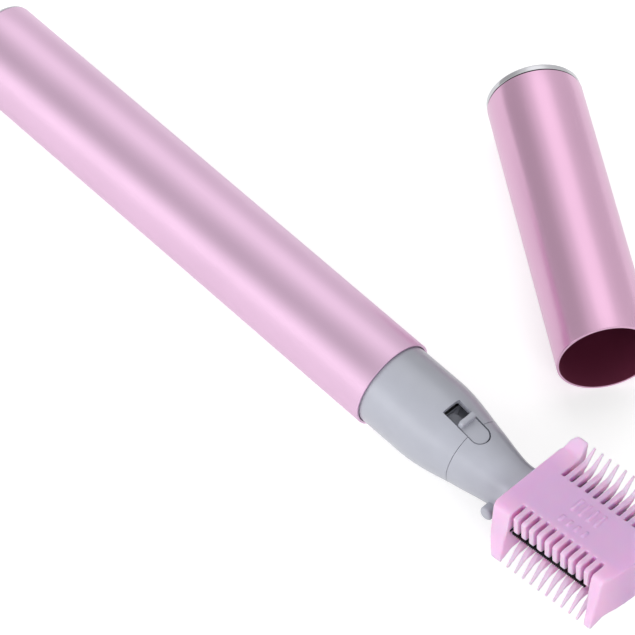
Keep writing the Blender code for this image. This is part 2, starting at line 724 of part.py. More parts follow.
def make_motor():
    back = MOTOR_FRONT - MOTOR_LENGTH
    hole = SHAFT_RADIUS + SLIDE_GAP
    can = turned("motor_can", [
        (hole, MOTOR_FRONT + MOTOR_BOSS_LENGTH),
        (MOTOR_BOSS_RADIUS, MOTOR_FRONT + MOTOR_BOSS_LENGTH), (MOTOR_BOSS_RADIUS, MOTOR_FRONT),
        (MOTOR_RADIUS - CELL_EDGE, MOTOR_FRONT), (MOTOR_RADIUS, MOTOR_FRONT - CELL_EDGE),
        (MOTOR_RADIUS, back), (MOTOR_RADIUS - MOTOR_WALL, back),
        (MOTOR_RADIUS - MOTOR_WALL, MOTOR_FRONT - MOTOR_WALL), (hole, MOTOR_FRONT - MOTOR_WALL)],
        steel, closed=True, sides=ROUND_SIDES // 2)
    along_x(can, (RIM, 0, 0))
    end = back - SLIDE_GAP
    end_cap = turned("motor_end_cap", [
        (hole, end), (MOTOR_RADIUS - SLIDE_GAP, end),
        (MOTOR_RADIUS - SLIDE_GAP, end - MOTOR_CAP_LENGTH), (hole, end - MOTOR_CAP_LENGTH)],
        white, closed=True, sides=ROUND_SIDES // 2)
    along_x(end_cap, (RIM, 0, 0))

    shaft_end = CAM_BACK + CAM_LENGTH - 2 * SEAT_GAP
    shaft = turned("motor_shaft", [
        (0, shaft_end), (SHAFT_RADIUS, shaft_end), (SHAFT_RADIUS, end - MOTOR_CAP_LENGTH),
        (0, end - MOTOR_CAP_LENGTH)], steel, sides=SMALL_SIDES)
    along_x(shaft, (RIM, 0, 0))
    middle = back + MOTOR_LENGTH / 2
    armature = turned("motor_armature", [
        (hole, middle + ARMATURE_LENGTH / 2), (ARMATURE_DIAMETER / 2, middle + ARMATURE_LENGTH / 2),
        (ARMATURE_DIAMETER / 2, middle - ARMATURE_LENGTH / 2),
        (hole, middle - ARMATURE_LENGTH / 2)], copper, closed=True, sides=SMALL_SIDES)
    along_x(armature, (RIM, 0, 0))
    cam = turned("eccentric_cam", [
        (0, CAM_BACK + CAM_LENGTH), (CAM_RADIUS, CAM_BACK + CAM_LENGTH), (CAM_RADIUS, CAM_BACK),
        (hole, CAM_BACK), (hole, shaft_end + SLIDE_GAP), (0, shaft_end + SLIDE_GAP)], white,
        sides=SMALL_SIDES)
    along_x(cam, (RIM, 0, 0))
    pin_back = RIM + CAM_BACK + CAM_LENGTH - SEAT_GAP
    cam_pin = rod(
        "cam_pin", (pin_back, CAM_THROW, 0), (pin_back + CAM_PIN_LENGTH + SEAT_GAP, CAM_THROW, 0),
        CAM_PIN_RADIUS)
    fuse(cam, cam_pin)


def make_lever():
    """Bell crank: a fork at the eccentric, a hub on the pivot and a side arm with a drive pin."""
    frame = empty("lever_frame", (RIM + PIVOT_PLACE, 0, 0))
    arm = LEVER_ARM_WIDTH / 2
    fork = CAM_PIN_END + SEAT_GAP - PIVOT_PLACE
    top = LEVER_FLOOR + LEVER_THICKNESS
    prong_in = CAM_PIN_RADIUS + SLIDE_GAP
    prong_out = prong_in + FORK_PRONG
    lever = slab(
        "drive_lever", circle((0, 0), LEVER_HUB_RADIUS), LEVER_FLOOR, top, white, frame,
        holes=[circle((0, 0), PIVOT_RADIUS + SLIDE_GAP / 2)])
    rear = slab("lever_rear_arm", [
        (-PIVOT_RADIUS - 2 * SLIDE_GAP, -arm), (-PIVOT_RADIUS - 2 * SLIDE_GAP, arm),
        (fork + FORK_LENGTH, prong_out), (fork, prong_out), (fork, -prong_out),
        (fork + FORK_LENGTH, -prong_out)], LEVER_FLOOR, top, parent=frame)
    side = slab("lever_side_arm", [
        (-SIDE_ARM_END_RADIUS, -PIVOT_RADIUS - 2 * SLIDE_GAP), (-SIDE_ARM_END_RADIUS, -SIDE_ARM),
        *[(SIDE_ARM_END_RADIUS * math.cos(math.pi * (1 + i / ARC_STEPS)),
           -SIDE_ARM + SIDE_ARM_END_RADIUS * math.sin(math.pi * (1 + i / ARC_STEPS)))
          for i in range(1, ARC_STEPS)],
        (SIDE_ARM_END_RADIUS, -SIDE_ARM), (SIDE_ARM_END_RADIUS, -PIVOT_RADIUS - 2 * SLIDE_GAP)],
        LEVER_FLOOR, top, parent=frame)
    fuse(lever, rear)
    fuse(lever, side)
    for way in (-1, 1):
        low, high = sorted((way * prong_in, way * prong_out))
        prong = box(
            "fork_prong", (fork, low, LEVER_FLOOR + SLIDE_GAP),
            (fork + FORK_LENGTH - SLIDE_GAP, high, FORK_TOP), parent=frame)
        fuse(lever, prong)
    pin = rod(
        "drive_pin", (0, -SIDE_ARM, LEVER_FLOOR + SLIDE_GAP), (0, -SIDE_ARM, DRIVE_PIN_TOP),
        DRIVE_PIN_RADIUS, parent=frame)
    fuse(lever, pin)
    low = LEVER_FLOOR - SEAT_GAP - TONGUE_THICKNESS
    pivot = turned("lever_pivot", [
        (0, top + SLIDE_GAP + PIVOT_HEAD_HEIGHT),
        (PIVOT_HEAD_RADIUS, top + SLIDE_GAP + PIVOT_HEAD_HEIGHT),
        (PIVOT_HEAD_RADIUS, top + SLIDE_GAP), (PIVOT_RADIUS - SLIDE_GAP / 2, top + SLIDE_GAP),
        (PIVOT_RADIUS - SLIDE_GAP / 2, low), (0, low)], steel, sides=SMALL_SIDES)
    pivot.location = (RIM + PIVOT_PLACE, 0, 0)


def toothed_outline(start, length, half_width, teeth):
    """A blade with trapezoid teeth down both long sides."""
    run = length - 2 * BLADE_END_MARGIN
    pitch = run / teeth
    left = start + BLADE_END_MARGIN
    root = half_width - TOOTH_DEPTH
    side = []
    for i in range(teeth):
        x = left + pitch * i
        side += [(x + pitch * share, -level)
                 for share, level in zip(tooth_shares, (root, half_width, half_width, root))]
    other = [(x, -y) for x, y in reversed(side)]
    end = start + length
    return [(start, -root), *side, (end, -root), (end, root), *other, (start, root)]


def make_blades(head_frame, neck):
    """Fixed toothed blade on its frame, moving blade above it, and the sheet that holds both."""
    fixed_top = 0.0
    fixed_low = fixed_top - FIXED_SHEET
    frame_top = fixed_low - SLIDE_GAP
    frame_low = frame_top - FRAME_THICKNESS
    moving_low = fixed_top + SLIDE_GAP
    moving_top = moving_low + BLADE_SHEET
    cover_low = moving_top + SLIDE_GAP
    rivets = [BLADE_LENGTH * share for share in rivet_place_shares]
    holes = [circle((x, 0), RIVET_RADIUS + SLIDE_GAP) for x in rivets]

    tail = FRAME_TAIL_HALF_WIDTH
    wide = FRAME_HALF_WIDTH
    corner = FRAME_CORNER
    outline = rounded(
        [(-FRAME_TAIL_LENGTH, -tail), (corner / 2, -tail), (corner / 2, -wide),
         (BLADE_LENGTH, -wide), (BLADE_LENGTH, wide), (corner / 2, wide),
         (corner / 2, tail), (-FRAME_TAIL_LENGTH, tail)],
        [0, 0, corner / 2, corner, corner, corner / 2, 0, 0])
    slab("blade_frame", outline, frame_low, frame_top, dark, head_frame, holes=holes)
    slab(
        "fixed_blade", toothed_outline(corner / 2, BLADE_LENGTH, BLADE_HALF_WIDTH, BLADE_TEETH),
        fixed_low, fixed_top, steel, head_frame, holes=holes)
    slots = []
    for x in rivets:
        reach = CUTTER_STROKE + SLIDE_GAP
        half = RIVET_RADIUS + SLIDE_GAP
        slots.append(rounded(
            [(x - reach - half, -half), (x + reach + half, -half),
             (x + reach + half, half), (x - reach - half, half)], half - SLIDE_GAP))
    inset = MOVING_BLADE_INSET + CUTTER_STROKE
    slab(
        "moving_blade",
        toothed_outline(corner / 2 + inset, BLADE_LENGTH - 2 * inset,
                        BLADE_HALF_WIDTH - MOVING_BLADE_INSET, BLADE_TEETH),
        moving_low, moving_top, steel, head_frame, holes=slots)
    cover_start = rivets[0] - RETAINER_BACK_MARGIN
    cover_end = rivets[1] + RETAINER_FRONT_MARGIN
    slab(
        "blade_retainer",
        rounded([(cover_start, -RETAINER_HALF_WIDTH), (cover_end, -RETAINER_HALF_WIDTH),
                 (cover_end, RETAINER_HALF_WIDTH), (cover_start, RETAINER_HALF_WIDTH)], corner),
        cover_low, cover_low + RETAINER_SHEET, steel, head_frame, holes=holes)
    head_low = cover_low + RETAINER_SHEET + SLIDE_GAP
    head_top = head_low + RIVET_HEAD_HEIGHT
    for name, x in zip(("rear_rivet", "front_rivet"), rivets):
        rivet = turned(name, [
            (0, head_top), (RIVET_HEAD_RADIUS, head_top), (RIVET_HEAD_RADIUS, head_low),
            (RIVET_RADIUS, head_low), (RIVET_RADIUS, frame_low), (0, frame_low)],
            steel, head_frame, sides=SMALL_SIDES)
        rivet.location = (x, 0, 0)

    turn_back = Matrix.Rotation(HEAD_PITCH, 3, "Y")
    pin_offset = Vector((PIVOT_PLACE - HEAD_PLACE, 0, DRIVE_PIN_TOP - HEAD_RISE))
    pin_x = (turn_back @ pin_offset).x
    bar = DRIVER_WIDTH / 2
    foot_end = DRIVER_FOOT_START + DRIVER_FOOT_LENGTH
    driver = slab(
        "cutter_driver",
        rounded([
            (pin_x + bar, -SIDE_ARM - bar), (foot_end, -SIDE_ARM - bar),
            (foot_end, DRIVER_FOOT_HALF_WIDTH), (DRIVER_FOOT_START, DRIVER_FOOT_HALF_WIDTH),
            (DRIVER_FOOT_START, -SIDE_ARM + bar), (pin_x + bar, -SIDE_ARM + bar)],
            [0, bar / 2, bar / 2, bar / 2, 0, 0]),
        cover_low, cover_low + DRIVER_THICKNESS, white, head_frame)
    eye = slab(
        "driver_eye", circle((pin_x, -SIDE_ARM), DRIVER_END_RADIUS),
        cover_low, cover_low + DRIVER_THICKNESS, parent=head_frame)
    fuse(driver, eye)
    eye_hole = rod(
        "driver_eye_hole", (pin_x, -SIDE_ARM, cover_low - CUT_OVERRUN),
        (pin_x, -SIDE_ARM, cover_low + DRIVER_THICKNESS + CUT_OVERRUN),
        DRIVE_PIN_RADIUS + 2 * SLIDE_GAP, parent=head_frame)
    cut(driver, eye_hole)

    socket_side = max(SIDE_ARM + bar, tail) + SEAT_GAP
    socket = box(
        "blade_socket", (-NOSE_WALL - FRAME_TAIL_LENGTH, -socket_side, frame_low - SLIDE_GAP),
        (NOSE_WALL, tail + SEAT_GAP, cover_low + DRIVER_THICKNESS + SEAT_GAP), parent=head_frame)
    cut(neck, socket)
    return fixed_low, moving_top, frame_low, head_top


def comb_outline():
    """End wall: level plates, a sloping side and a round horn, the same after half a turn."""
    tall = COMB_HALF_HEIGHT
    tip = tall + COMB_TIP_RISE
    corners = half_turned([
        (-COMB_SHORT_REACH, tall), (COMB_LEVEL_REACH, tall),
        (COMB_LONG_REACH - COMB_TIP_ROUND, tip), (COMB_LONG_REACH, tip - 2 * COMB_TIP_ROUND)])
    radii = [COMB_CORNER, COMB_CORNER, COMB_TIP_ROUND / 2, COMB_TIP_ROUND] * 2
    return rounded(corners, radii)


def comb_passage():
    """What is hollow between the end walls: the blade's way and the gaps at both edges."""
    inner = COMB_HALF_HEIGHT - COMB_PLATE
    rib_in = COMB_SHORT_REACH - COMB_SHORT_SLOT_DEPTH
    far = COMB_LONG_REACH + CUT_OVERRUN
    bend = COMB_LEVEL_REACH - COMB_CORNER
    rise = COMB_PLATE + COMB_TIP_RISE - COMB_TIP_HEIGHT
    drop = COMB_RIB_END + COMB_RIB_ROUND
    low = COMB_HALF_HEIGHT + COMB_TIP_RISE + CUT_OVERRUN
    roof = inner + rise * (far - bend) / (COMB_LONG_REACH - bend)
    end_arc = [
        (COMB_SHORT_REACH - COMB_RIB_ROUND + COMB_RIB_ROUND * math.cos(angle),
         -drop + COMB_RIB_ROUND * math.sin(angle))
        for angle in np.linspace(0, math.pi / 2, FILLET_STEPS)]
    return half_turned([
        (-rib_in, inner), (bend, inner), (far, roof),
        (far, -low), (COMB_SHORT_REACH, -low), *end_arc, (rib_in, -COMB_RIB_END)])


def comb_plan():
    """Seen from above: square at the neck, bulging at the far end."""
    wide = COMB_LONG_REACH + CUT_OVERRUN
    start = COMB_START
    end = start + COMB_LENGTH
    bow = [
        (end - COMB_BULGE * share ** 2, COMB_LONG_REACH * share)
        for share in np.linspace(-1, 1, BOW_STEPS)]
    return rounded(
        [(start, wide), (start, -wide), (bow[0][0], -wide), *bow, (bow[-1][0], wide)],
        [COMB_PLAN_CORNER + CUT_OVERRUN] * 2 + [0] * (len(bow) + 2))


def make_comb(head_frame, blades_low, blades_high, stack_low, stack_high):
    """The comb is one moulding: a profile run along the blade, then hollowed, slotted and bowed."""
    end = COMB_START + COMB_LENGTH
    comb = slab("eyebrow_comb", comb_outline(), COMB_START, end, milky, head_frame, turn=ACROSS_TO_X)
    first = COMB_START + COMB_NECK_WALL
    last = first + COMB_RUN
    passage = slab(
        "comb_passage", comb_passage(), first, last, parent=head_frame, turn=ACROSS_TO_X)
    cut(comb, passage)

    wide = COMB_LONG_REACH + CUT_OVERRUN
    plan_low = -COMB_HALF_HEIGHT - COMB_TIP_RISE - CUT_OVERRUN
    plan = slab("comb_plan", comb_plan(), plan_low, -plan_low, parent=head_frame)
    apply_boolean(comb, plan, "INTERSECT")

    half = COMB_SLOT_WIDTH / 2
    rib_in = COMB_SHORT_REACH - COMB_SHORT_SLOT_DEPTH
    flare = COMB_SLOT_PITCH / 2 - COMB_TIP_WIDTH / 2
    short = [(-half, rib_in), (half, rib_in), (half, COMB_SHORT_REACH + half),
             (-half, COMB_SHORT_REACH + half)]
    long = [
        (-half, COMB_LONG_SLOT_START), (half, COMB_LONG_SLOT_START), (half, COMB_LEVEL_REACH),
        (flare, COMB_LONG_REACH), (flare, wide), (-flare, wide), (-flare, COMB_LONG_REACH),
        (-half, COMB_LEVEL_REACH)]
    tall = COMB_HALF_HEIGHT + COMB_TIP_RISE + CUT_OVERRUN
    for label, outline, side, level in (
            ("near_short_slots", short, -1, 1), ("far_short_slots", short, 1, -1),
            ("far_long_slots", long, 1, 1), ("near_long_slots", long, -1, -1)):
        low, high = sorted((0, level * tall))
        slots = slab(label, [(x, side * y) for x, y in outline], low, high, parent=head_frame)
        slots.location = (first + half, 0, 0)
        array = slots.modifiers.new("row", "ARRAY")
        array.count = COMB_SLOTS
        array.use_relative_offset = False
        array.use_constant_offset = True
        array.constant_offset_displace = (COMB_SLOT_PITCH, 0, 0)
        cut(comb, slots)

    clear = COMB_OPENING_CLEARANCE
    for name, side, low, high in (
            ("comb_blade_doorway", BLADE_HALF_WIDTH, blades_low, blades_high),
            ("comb_frame_doorway", FRAME_HALF_WIDTH, stack_low, stack_high)):
        doorway = box(
            name, (COMB_START - CUT_OVERRUN, -side - clear, low - clear),
            (first + CUT_OVERRUN, side + clear, high + clear), parent=head_frame)
        cut(comb, doorway)
    window = box(
        "comb_window",
        (last - CUT_OVERRUN, COMB_WINDOW_PLACE - COMB_WINDOW_WIDTH / 2,
         -COMB_WINDOW_HEIGHT / 2),
        (end + CUT_OVERRUN, COMB_WINDOW_PLACE + COMB_WINDOW_WIDTH / 2, COMB_WINDOW_HEIGHT / 2),
        parent=head_frame)
    cut(comb, window)


clear_scene()
part = new_collection("electric_eyebrow_trimmer")
cutters = new_collection("cutters")

pink = finish("pink_anodised_aluminium", (0.72, 0.42, 0.66), 0.35, 1.0)
chrome = finish("chrome", (0.85, 0.85, 0.87), 0.08, 1.0)
grey = finish("grey_satin_plastic", (0.42, 0.43, 0.46), 0.45)
milky = finish("milky_pink_plastic", (0.80, 0.42, 0.72), 0.40)
dark = finish("dark_plastic", (0.05, 0.04, 0.05), 0.50)
white = finish("white_plastic", (0.80, 0.80, 0.78), 0.50)
steel = finish("steel", (0.60, 0.60, 0.62), 0.25, 1.0)
copper = finish("copper", (0.75, 0.42, 0.26), 0.35, 1.0)
jacket = finish("battery_jacket", (0.12, 0.14, 0.18), 0.40)
rubber = finish("black_rubber", (0.03, 0.03, 0.03), 0.80)

make_barrel()
make_cap()
slot_middle, slot_height, slot_tilt = switch_frame_values()
slot_frame = empty("switch_frame", (RIM + slot_middle, 0, slot_height), (0, slot_tilt, 0))
neck_housing = make_housing(slot_frame)
make_switch(slot_frame, slot_tilt)
make_battery(make_chassis())
make_motor()
make_lever()
blade_head = empty("blade_head_frame", (RIM + HEAD_PLACE, 0, HEAD_RISE), (0, -HEAD_PITCH, 0))
make_comb(blade_head, *make_blades(blade_head, neck_housing))
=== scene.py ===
"""Looks of an electric eyebrow trimmer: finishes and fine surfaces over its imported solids.

Frame: +X runs along the pen from its tail to its head and +Z is up, in metres. The origin is
the centre of the tail plug's flat end. The pen and its cap lie on a pale floor.
"""
import math

import bmesh
import bpy
import numpy as np
from mathutils import Matrix, Vector


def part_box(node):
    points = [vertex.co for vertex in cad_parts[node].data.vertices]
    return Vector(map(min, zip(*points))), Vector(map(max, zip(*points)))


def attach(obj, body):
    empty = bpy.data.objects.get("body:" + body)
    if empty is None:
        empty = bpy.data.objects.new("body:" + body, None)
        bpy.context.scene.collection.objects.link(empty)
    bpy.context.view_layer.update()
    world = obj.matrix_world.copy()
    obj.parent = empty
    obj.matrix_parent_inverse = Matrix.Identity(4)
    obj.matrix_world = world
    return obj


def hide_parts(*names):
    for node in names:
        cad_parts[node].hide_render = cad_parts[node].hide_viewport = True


bl_info = {
    "name": "Eyebrow Trimmer Looks",
    "version": (1, 0, 0),
    "blender": (4, 5, 0),
    "location": "View3D > Sidebar > Trimmer",
    "description": "Adds fine surfaces and finishes to the packed solids of an eyebrow trimmer",
    "category": "Object",
}

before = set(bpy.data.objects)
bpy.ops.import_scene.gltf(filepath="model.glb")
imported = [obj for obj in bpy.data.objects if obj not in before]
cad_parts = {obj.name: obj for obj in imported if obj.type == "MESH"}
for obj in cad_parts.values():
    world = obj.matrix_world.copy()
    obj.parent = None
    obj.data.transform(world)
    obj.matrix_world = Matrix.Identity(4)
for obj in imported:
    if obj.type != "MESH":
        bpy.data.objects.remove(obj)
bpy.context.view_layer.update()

IMAGE_SIDE = 635
SIDEBAR_TAB = "Trimmer"

# Solids that the fine surfaces are fitted to
BARREL_LOW, BARREL_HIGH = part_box("barrel_tube")
RIM = BARREL_HIGH.x
BARREL_RADIUS = BARREL_HIGH.z
BARREL_WALL = 0.00045
FLOOR_LEVEL = BARREL_LOW.z

# Longest steps along the tubes, the plugs and the housing
TUBE_STEP = 0.004
PLUG_STEP = 0.002
HOUSING_STEP = 0.0003

# Distance at which a solid's loose corners are welded, the hair by which a cutting or fused
# shape is rounded or held back, and the angle of a crisp edge in degrees
WELD = 1e-6
HAIR = 0.00001
CRISP_ANGLE = 32

# Head housing: share of its length, then half width, top, bottom and squareness
HEAD_LENGTH = 0.0294
COLLAR_INSERT = 0.0100
COLLAR_RADIUS = 0.00745
HOUSING_WALL = 0.0011
NOSE_WALL = 0.0019
PARTING_PLACE = 0.0180
PARTING_GAP = 0.00008
housing_shares = np.array((
    (-0.35, 1.00, 1.00, 1.00, 2.0),
    (0.00, 1.00, 1.00, 1.00, 2.0),
    (0.30, 1.00, 1.00, 1.00, 2.0),
    (0.40, 0.97, 0.98, 0.97, 2.0),
    (0.51, 0.89, 0.93, 0.91, 2.0),
    (0.61, 0.80, 0.87, 0.83, 2.0),
    (0.71, 0.72, 0.79, 0.74, 2.05),
    (0.81, 0.63, 0.70, 0.65, 2.15),
    (0.91, 0.56, 0.63, 0.57, 2.4),
    (1.00, 0.57, 0.63, 0.51, 2.8),
))

# Release lugs at the sides of the neck
LUG_PLACE = 0.0268
LUG_DROP = 0.0020
LUG_RADIUS = 0.0012
LUG_REACH = 0.00595
LUG_LENGTH = 0.0040
LUG_EDGE = 0.0005
LUG_SIDES = 64
LUG_CRISP_ANGLE = 50

# Slide switch
SLOT_START = 0.0124
SLOT_LENGTH = 0.0084
SLOT_WIDTH = 0.0037
SLOT_CORNER = 0.0002
SLOT_SPARE = 0.001
PAD_CORNER = 0.0004
SWITCH_TRAVEL = 0.0029
SWITCH_GAP = 0.00018
PAD_SINK = 0.00025
PAD_DEPTH = 0.0019
RIB_LENGTH = 0.0010
RIB_HEIGHT = 0.0013
RIB_INSET = 0.00005
RIB_ROOT = 0.0012
RIB_EDGE = 0.0003
FOOT_LENGTH = 0.0044
FOOT_WIDTH = 0.0046
FOOT_DEPTH = 0.0005
FOOT_EDGE = 0.00008
FOOT_GAP = 0.0003
DENT_RADIUS = 0.0011
DENT_DEPTH = 0.00035
DENT_WALL = 0.0001
DENT_SIDES = 64

# Head frame: its origin and slope
HEAD_PLACE = 0.0307
HEAD_RISE = 0.0025
HEAD_PITCH = math.radians(8.0)

# Comb, in the head frame: its plate's top, its start, its slotted run and its half width, then
# how far from the slots its end walls are smoothed in full, in how many levels, and how many
# times all its edges are smoothed
COMB_TOP = 0.00424
COMB_START = -0.0007
COMB_SLOTS_START = 0.00308
COMB_SLOTS_END = 0.02029
COMB_REACH = 0.0102
WALL_FADE = 0.0006
WALL_LEVELS = 10
EDGE_ROUNDING = 3

# Opening in the neck's front, in the head frame: its ends, its sides and its height
SOCKET_BACK, SOCKET_FRONT = -0.0058, 0.0019
SOCKET_NEAR, SOCKET_FAR = -0.0029, 0.0026
SOCKET_HEIGHT = 0.0032
SOCKET_EDGE = 0.0002

# Raised bars on the comb: where they begin along it, and each row's middle and length across it
BAR_START = 0.0100
BAR_PITCH = 0.0016
BAR_WIDTH = 0.0005
BAR_ROOT = 0.0003
BAR_EDGE = 0.0001
BARS_IN_ROW = 4
bar_rows = ((-0.0029, 0.0012), (0.0006, 0.0026))

# Lower blade: the strip of fine teeth along each side
BLADE_END_MARGIN = 0.0009
FINE_TEETH = 44
STRIP_IN = 0.0064
STRIP_ROOT = 0.00775
STRIP_TIP = 0.00795
STRIP_GAP = 0.0003

# Cap: its sizes, its mouth's centre and its heading
CAP_RADIUS = 0.00835
CAP_WALL = 0.0005
CAP_LENGTH = 0.0561
CAP_MOUTH = (RIM + 0.0197, 0.0295, 0.00035)
CAP_HEADING = math.radians(-33.9)

# End plugs: the flanges' thickness, how far the spigots reach in, and their clearances
CAP_FLANGE = 0.0012
CAP_FLANGE_INSET = 0.0001
CAP_SPIGOT = 0.0014
TAIL_FLANGE = 0.0005
TAIL_SPIGOT = 0.004
PLUG_WALL = 0.0006
PLUG_CORNER = 0.0001
PLUG_SEAT = 0.0001
SEAM = 0.00022

# Colours of small and inner pieces, and the near-black painted shadow in the seam of the cap's
# plug
SEAM_SHADOW_PAINT = (0.02, 0.01, 0.015)
BLADE_HOLDER = (0.42, 0.42, 0.44)
BLADE_FRAME = (0.03, 0.025, 0.03)
WHITE_PLASTIC = (0.72, 0.71, 0.68)
WORKS_STEEL = (0.55, 0.55, 0.57)
SPRING_STEEL = (0.50, 0.50, 0.52)
COPPER = (0.66, 0.34, 0.18)
RUBBER = (0.012, 0.012, 0.012)
CELL_END, CELL_FILM, CELL_BAND = (0.50, 0.50, 0.52), (0.015, 0.02, 0.035), (0.55, 0.24, 0.10)

# Camera: its height, heading and roll in degrees, the point that it looks at, how far off it
# stands, and its focal length in pixels of the picture
CAMERA_ANGLES = (53.0, 41.615, 5.238)
CAMERA_AIM = (RIM - 0.021672, 0.00489, FLOOR_LEVEL)
CAMERA_AWAY = 0.61565
FOCAL_PIXELS = 3724.1
SENSOR = 36
NEAREST = 0.01

# Lamps: name, direction from their centre, distance, sides and power in watts
LAMPS_CENTRE = (RIM - 0.02, 0.01, 0)
lamps = (
    ("near_softbox", (-0.35, -0.90, 0.30), 0.50, (0.50, 0.20), 1.90),
    ("top_softbox", (-0.35, 0.30, 0.85), 0.60, (0.40, 0.40), 1.00),
    ("front_softbox", (0.80, -0.40, 0.45), 0.50, (0.30, 0.20), 0.95),
)

# Floor: half its side, its corners along a side, its drop below the barrel and its grey
FLOOR_HALF = 3.0
FLOOR_CORNERS = 9
FLOOR_DROP = 0.00002
FLOOR_GREY = (0.62, 0.62, 0.62, 1)

# Studio: the even sky for matt surfaces, the backdrop, the floor as seen and as mirrored, and
# the wall that glossy surfaces see, with its patches as aim, reach in degrees and gain
DIFFUSE_SKY = 0.42
BACKDROP = 1.0
FLOOR_SEEN = 0.60
FLOOR_MIRRORED = 0.46
WALL_LEVEL = 0.90
sky_patches = (
    ((-0.40, -0.92, -0.05), 42, 0.65),
    ((-0.42, 0.40, 0.82), 24, 0.42),
    ((-0.40, -0.45, 0.80), 24, -0.24),
    ((-0.90, -0.28, 0.33), 36, -0.36),
    ((-0.08, 0.95, 0.30), 30, -0.14),
)


class TrimmerSizes(bpy.types.PropertyGroup):
    """Sizes of the fine surfaces."""

    sides: bpy.props.IntProperty(
        name="Sides of round pieces", description="Facets round the barrel, the cap and the plugs",
        default=256, min=64, max=512)
    tube_edge: bpy.props.FloatProperty(
        name="Tube edge", description="Radius of the cut edges of the barrel and the cap",
        default=0.00010, min=0.00002, max=0.0002, subtype="DISTANCE", unit="LENGTH")
    plug_edge: bpy.props.FloatProperty(
        name="Plug edge", description="Radius round the flange of each chrome plug",
        default=0.00035, min=0.0001, max=0.0006, subtype="DISTANCE", unit="LENGTH")
    parting_edge: bpy.props.FloatProperty(
        name="Parting edge", description="Radius where the collar meets the neck",
        default=0.00004, min=0.00002, max=0.0004, subtype="DISTANCE", unit="LENGTH")
    neck_edge: bpy.props.FloatProperty(
        name="Neck edge", description="Radius round the front end of the neck",
        default=0.0004, min=0.0001, max=0.0010, subtype="DISTANCE", unit="LENGTH")
    pad_edge: bpy.props.FloatProperty(
        name="Pad edge", description="Radius round the top of the switch's pad",
        default=0.00018, min=0.00005, max=0.0003, subtype="DISTANCE", unit="LENGTH")
    comb_voxel: bpy.props.FloatProperty(
        name="Comb skin", description="Cell size of the even skin that rounds the comb's edges",
        default=0.00011, min=0.00008, max=0.0004, subtype="DISTANCE", unit="LENGTH")
    comb_triangles: bpy.props.IntProperty(
        name="Comb triangles", description="Most triangles left in the comb's skin",
        default=180000, min=20000, max=199000)
    wall_rounding: bpy.props.IntProperty(
        name="Wall rounding", description="Smoothing steps on the comb's thick end walls",
        default=40, min=0, max=120)
    mark_height: bpy.props.FloatProperty(
        name="Mark height", description="How far the comb's length bars stand off its plate",
        default=0.00024, min=0.00002, max=0.0004, subtype="DISTANCE", unit="LENGTH")


class TrimmerColours(bpy.types.PropertyGroup):
    """Colours of the finishes in linear light, with painted shade in some and painted light at the
    comb's tips.
    """

    aluminium: bpy.props.FloatVectorProperty(
        name="Anodised barrel", description="Colour of the barrel",
        default=(0.76, 0.52, 0.70), subtype="COLOR", min=0, max=1)
    # Partly the cap's own pinker tone, partly painted shade: the barrel's finish made darker for
    # the cap's darker reflections
    cap: bpy.props.FloatVectorProperty(
        name="Anodised cap", description="Colour of the cap, a little pinker than the barrel",
        default=(0.75, 0.46, 0.64), subtype="COLOR", min=0, max=1)
    # Painted shade: near-black wine inside the cap, where shade falls
    bore: bpy.props.FloatVectorProperty(
        name="Bore", description="Colour inside the cap",
        default=(0.14, 0.02, 0.05), subtype="COLOR", min=0, max=1)
    chrome: bpy.props.FloatVectorProperty(
        name="Chrome", description="Colour of the two end plugs",
        default=(0.62, 0.62, 0.65), subtype="COLOR", min=0, max=1)
    grey: bpy.props.FloatVectorProperty(
        name="Grey plastic", description="Colour of the collar, the neck and the switch",
        default=(0.375, 0.385, 0.44), subtype="COLOR", min=0, max=1)
    comb: bpy.props.FloatVectorProperty(
        name="Comb plate", description="Colour of the comb's plate",
        default=(0.79, 0.49, 0.78), subtype="COLOR", min=0, max=1)
    # Painted shade: the magenta pink that the slots between the teeth show in shade
    comb_root_shade: bpy.props.FloatVectorProperty(
        name="Comb teeth", description="Colour where the comb's teeth begin",
        default=(0.94, 0.54, 0.79), subtype="COLOR", min=0, max=1)
    # Painted light: the pale tone of the thin tips, standing in for light coming through them
    comb_tip_light: bpy.props.FloatVectorProperty(
        name="Comb tips", description="Colour at the thin ends of the comb's teeth",
        default=(0.93, 0.59, 0.83), subtype="COLOR", min=0, max=1)
    # Painted shade: near-black, for the blades seen in shadow under the comb's ribs
    blade: bpy.props.FloatVectorProperty(
        name="Blade steel", description="Colour of the blades",
        default=(0.030, 0.026, 0.030), subtype="COLOR", min=0, max=1)


def sizes():
    return bpy.context.scene.trimmer_sizes


def colours():
    return bpy.context.scene.trimmer_colours


def grid_mesh(name, points, lie=None, closed_rows=False):
    """Quads over a grid of points whose columns close on themselves, laid by a matrix.

    Corner (r, c) joins (r + 1, c), (r + 1, c + 1) and (r, c + 1), counted round each row, and
    also from the last row to the first if the rows close. Rows shrunk to one point are merged
    into a pole, and the faces are turned outwards.
    """
    if lie is not None:
        points = placed(points, lie)
    rows, columns = points.shape[:2]
    first = np.arange(rows if closed_rows else rows - 1)[:, None] * columns
    second = (first + columns) % (rows * columns)
    here = np.arange(columns)[None, :]
    there = (here + 1) % columns
    faces = np.stack((first + here, second + here, second + there, first + there), axis=-1)
    mesh = bpy.data.meshes.new(name)
    mesh.from_pydata(points.reshape(-1, 3).tolist(), [], faces.reshape(-1, 4).tolist())
    close_up(mesh)
    mesh.shade_smooth()
    return mesh


def close_up(mesh, distance=1e-7):
    """Merge what lies together and turn the faces outwards."""
    shape = bmesh.new()
    shape.from_mesh(mesh)
    bmesh.ops.remove_doubles(shape, verts=shape.verts, dist=distance)
    bmesh.ops.recalc_face_normals(shape, faces=shape.faces)
    shape.to_mesh(mesh)
    shape.free()


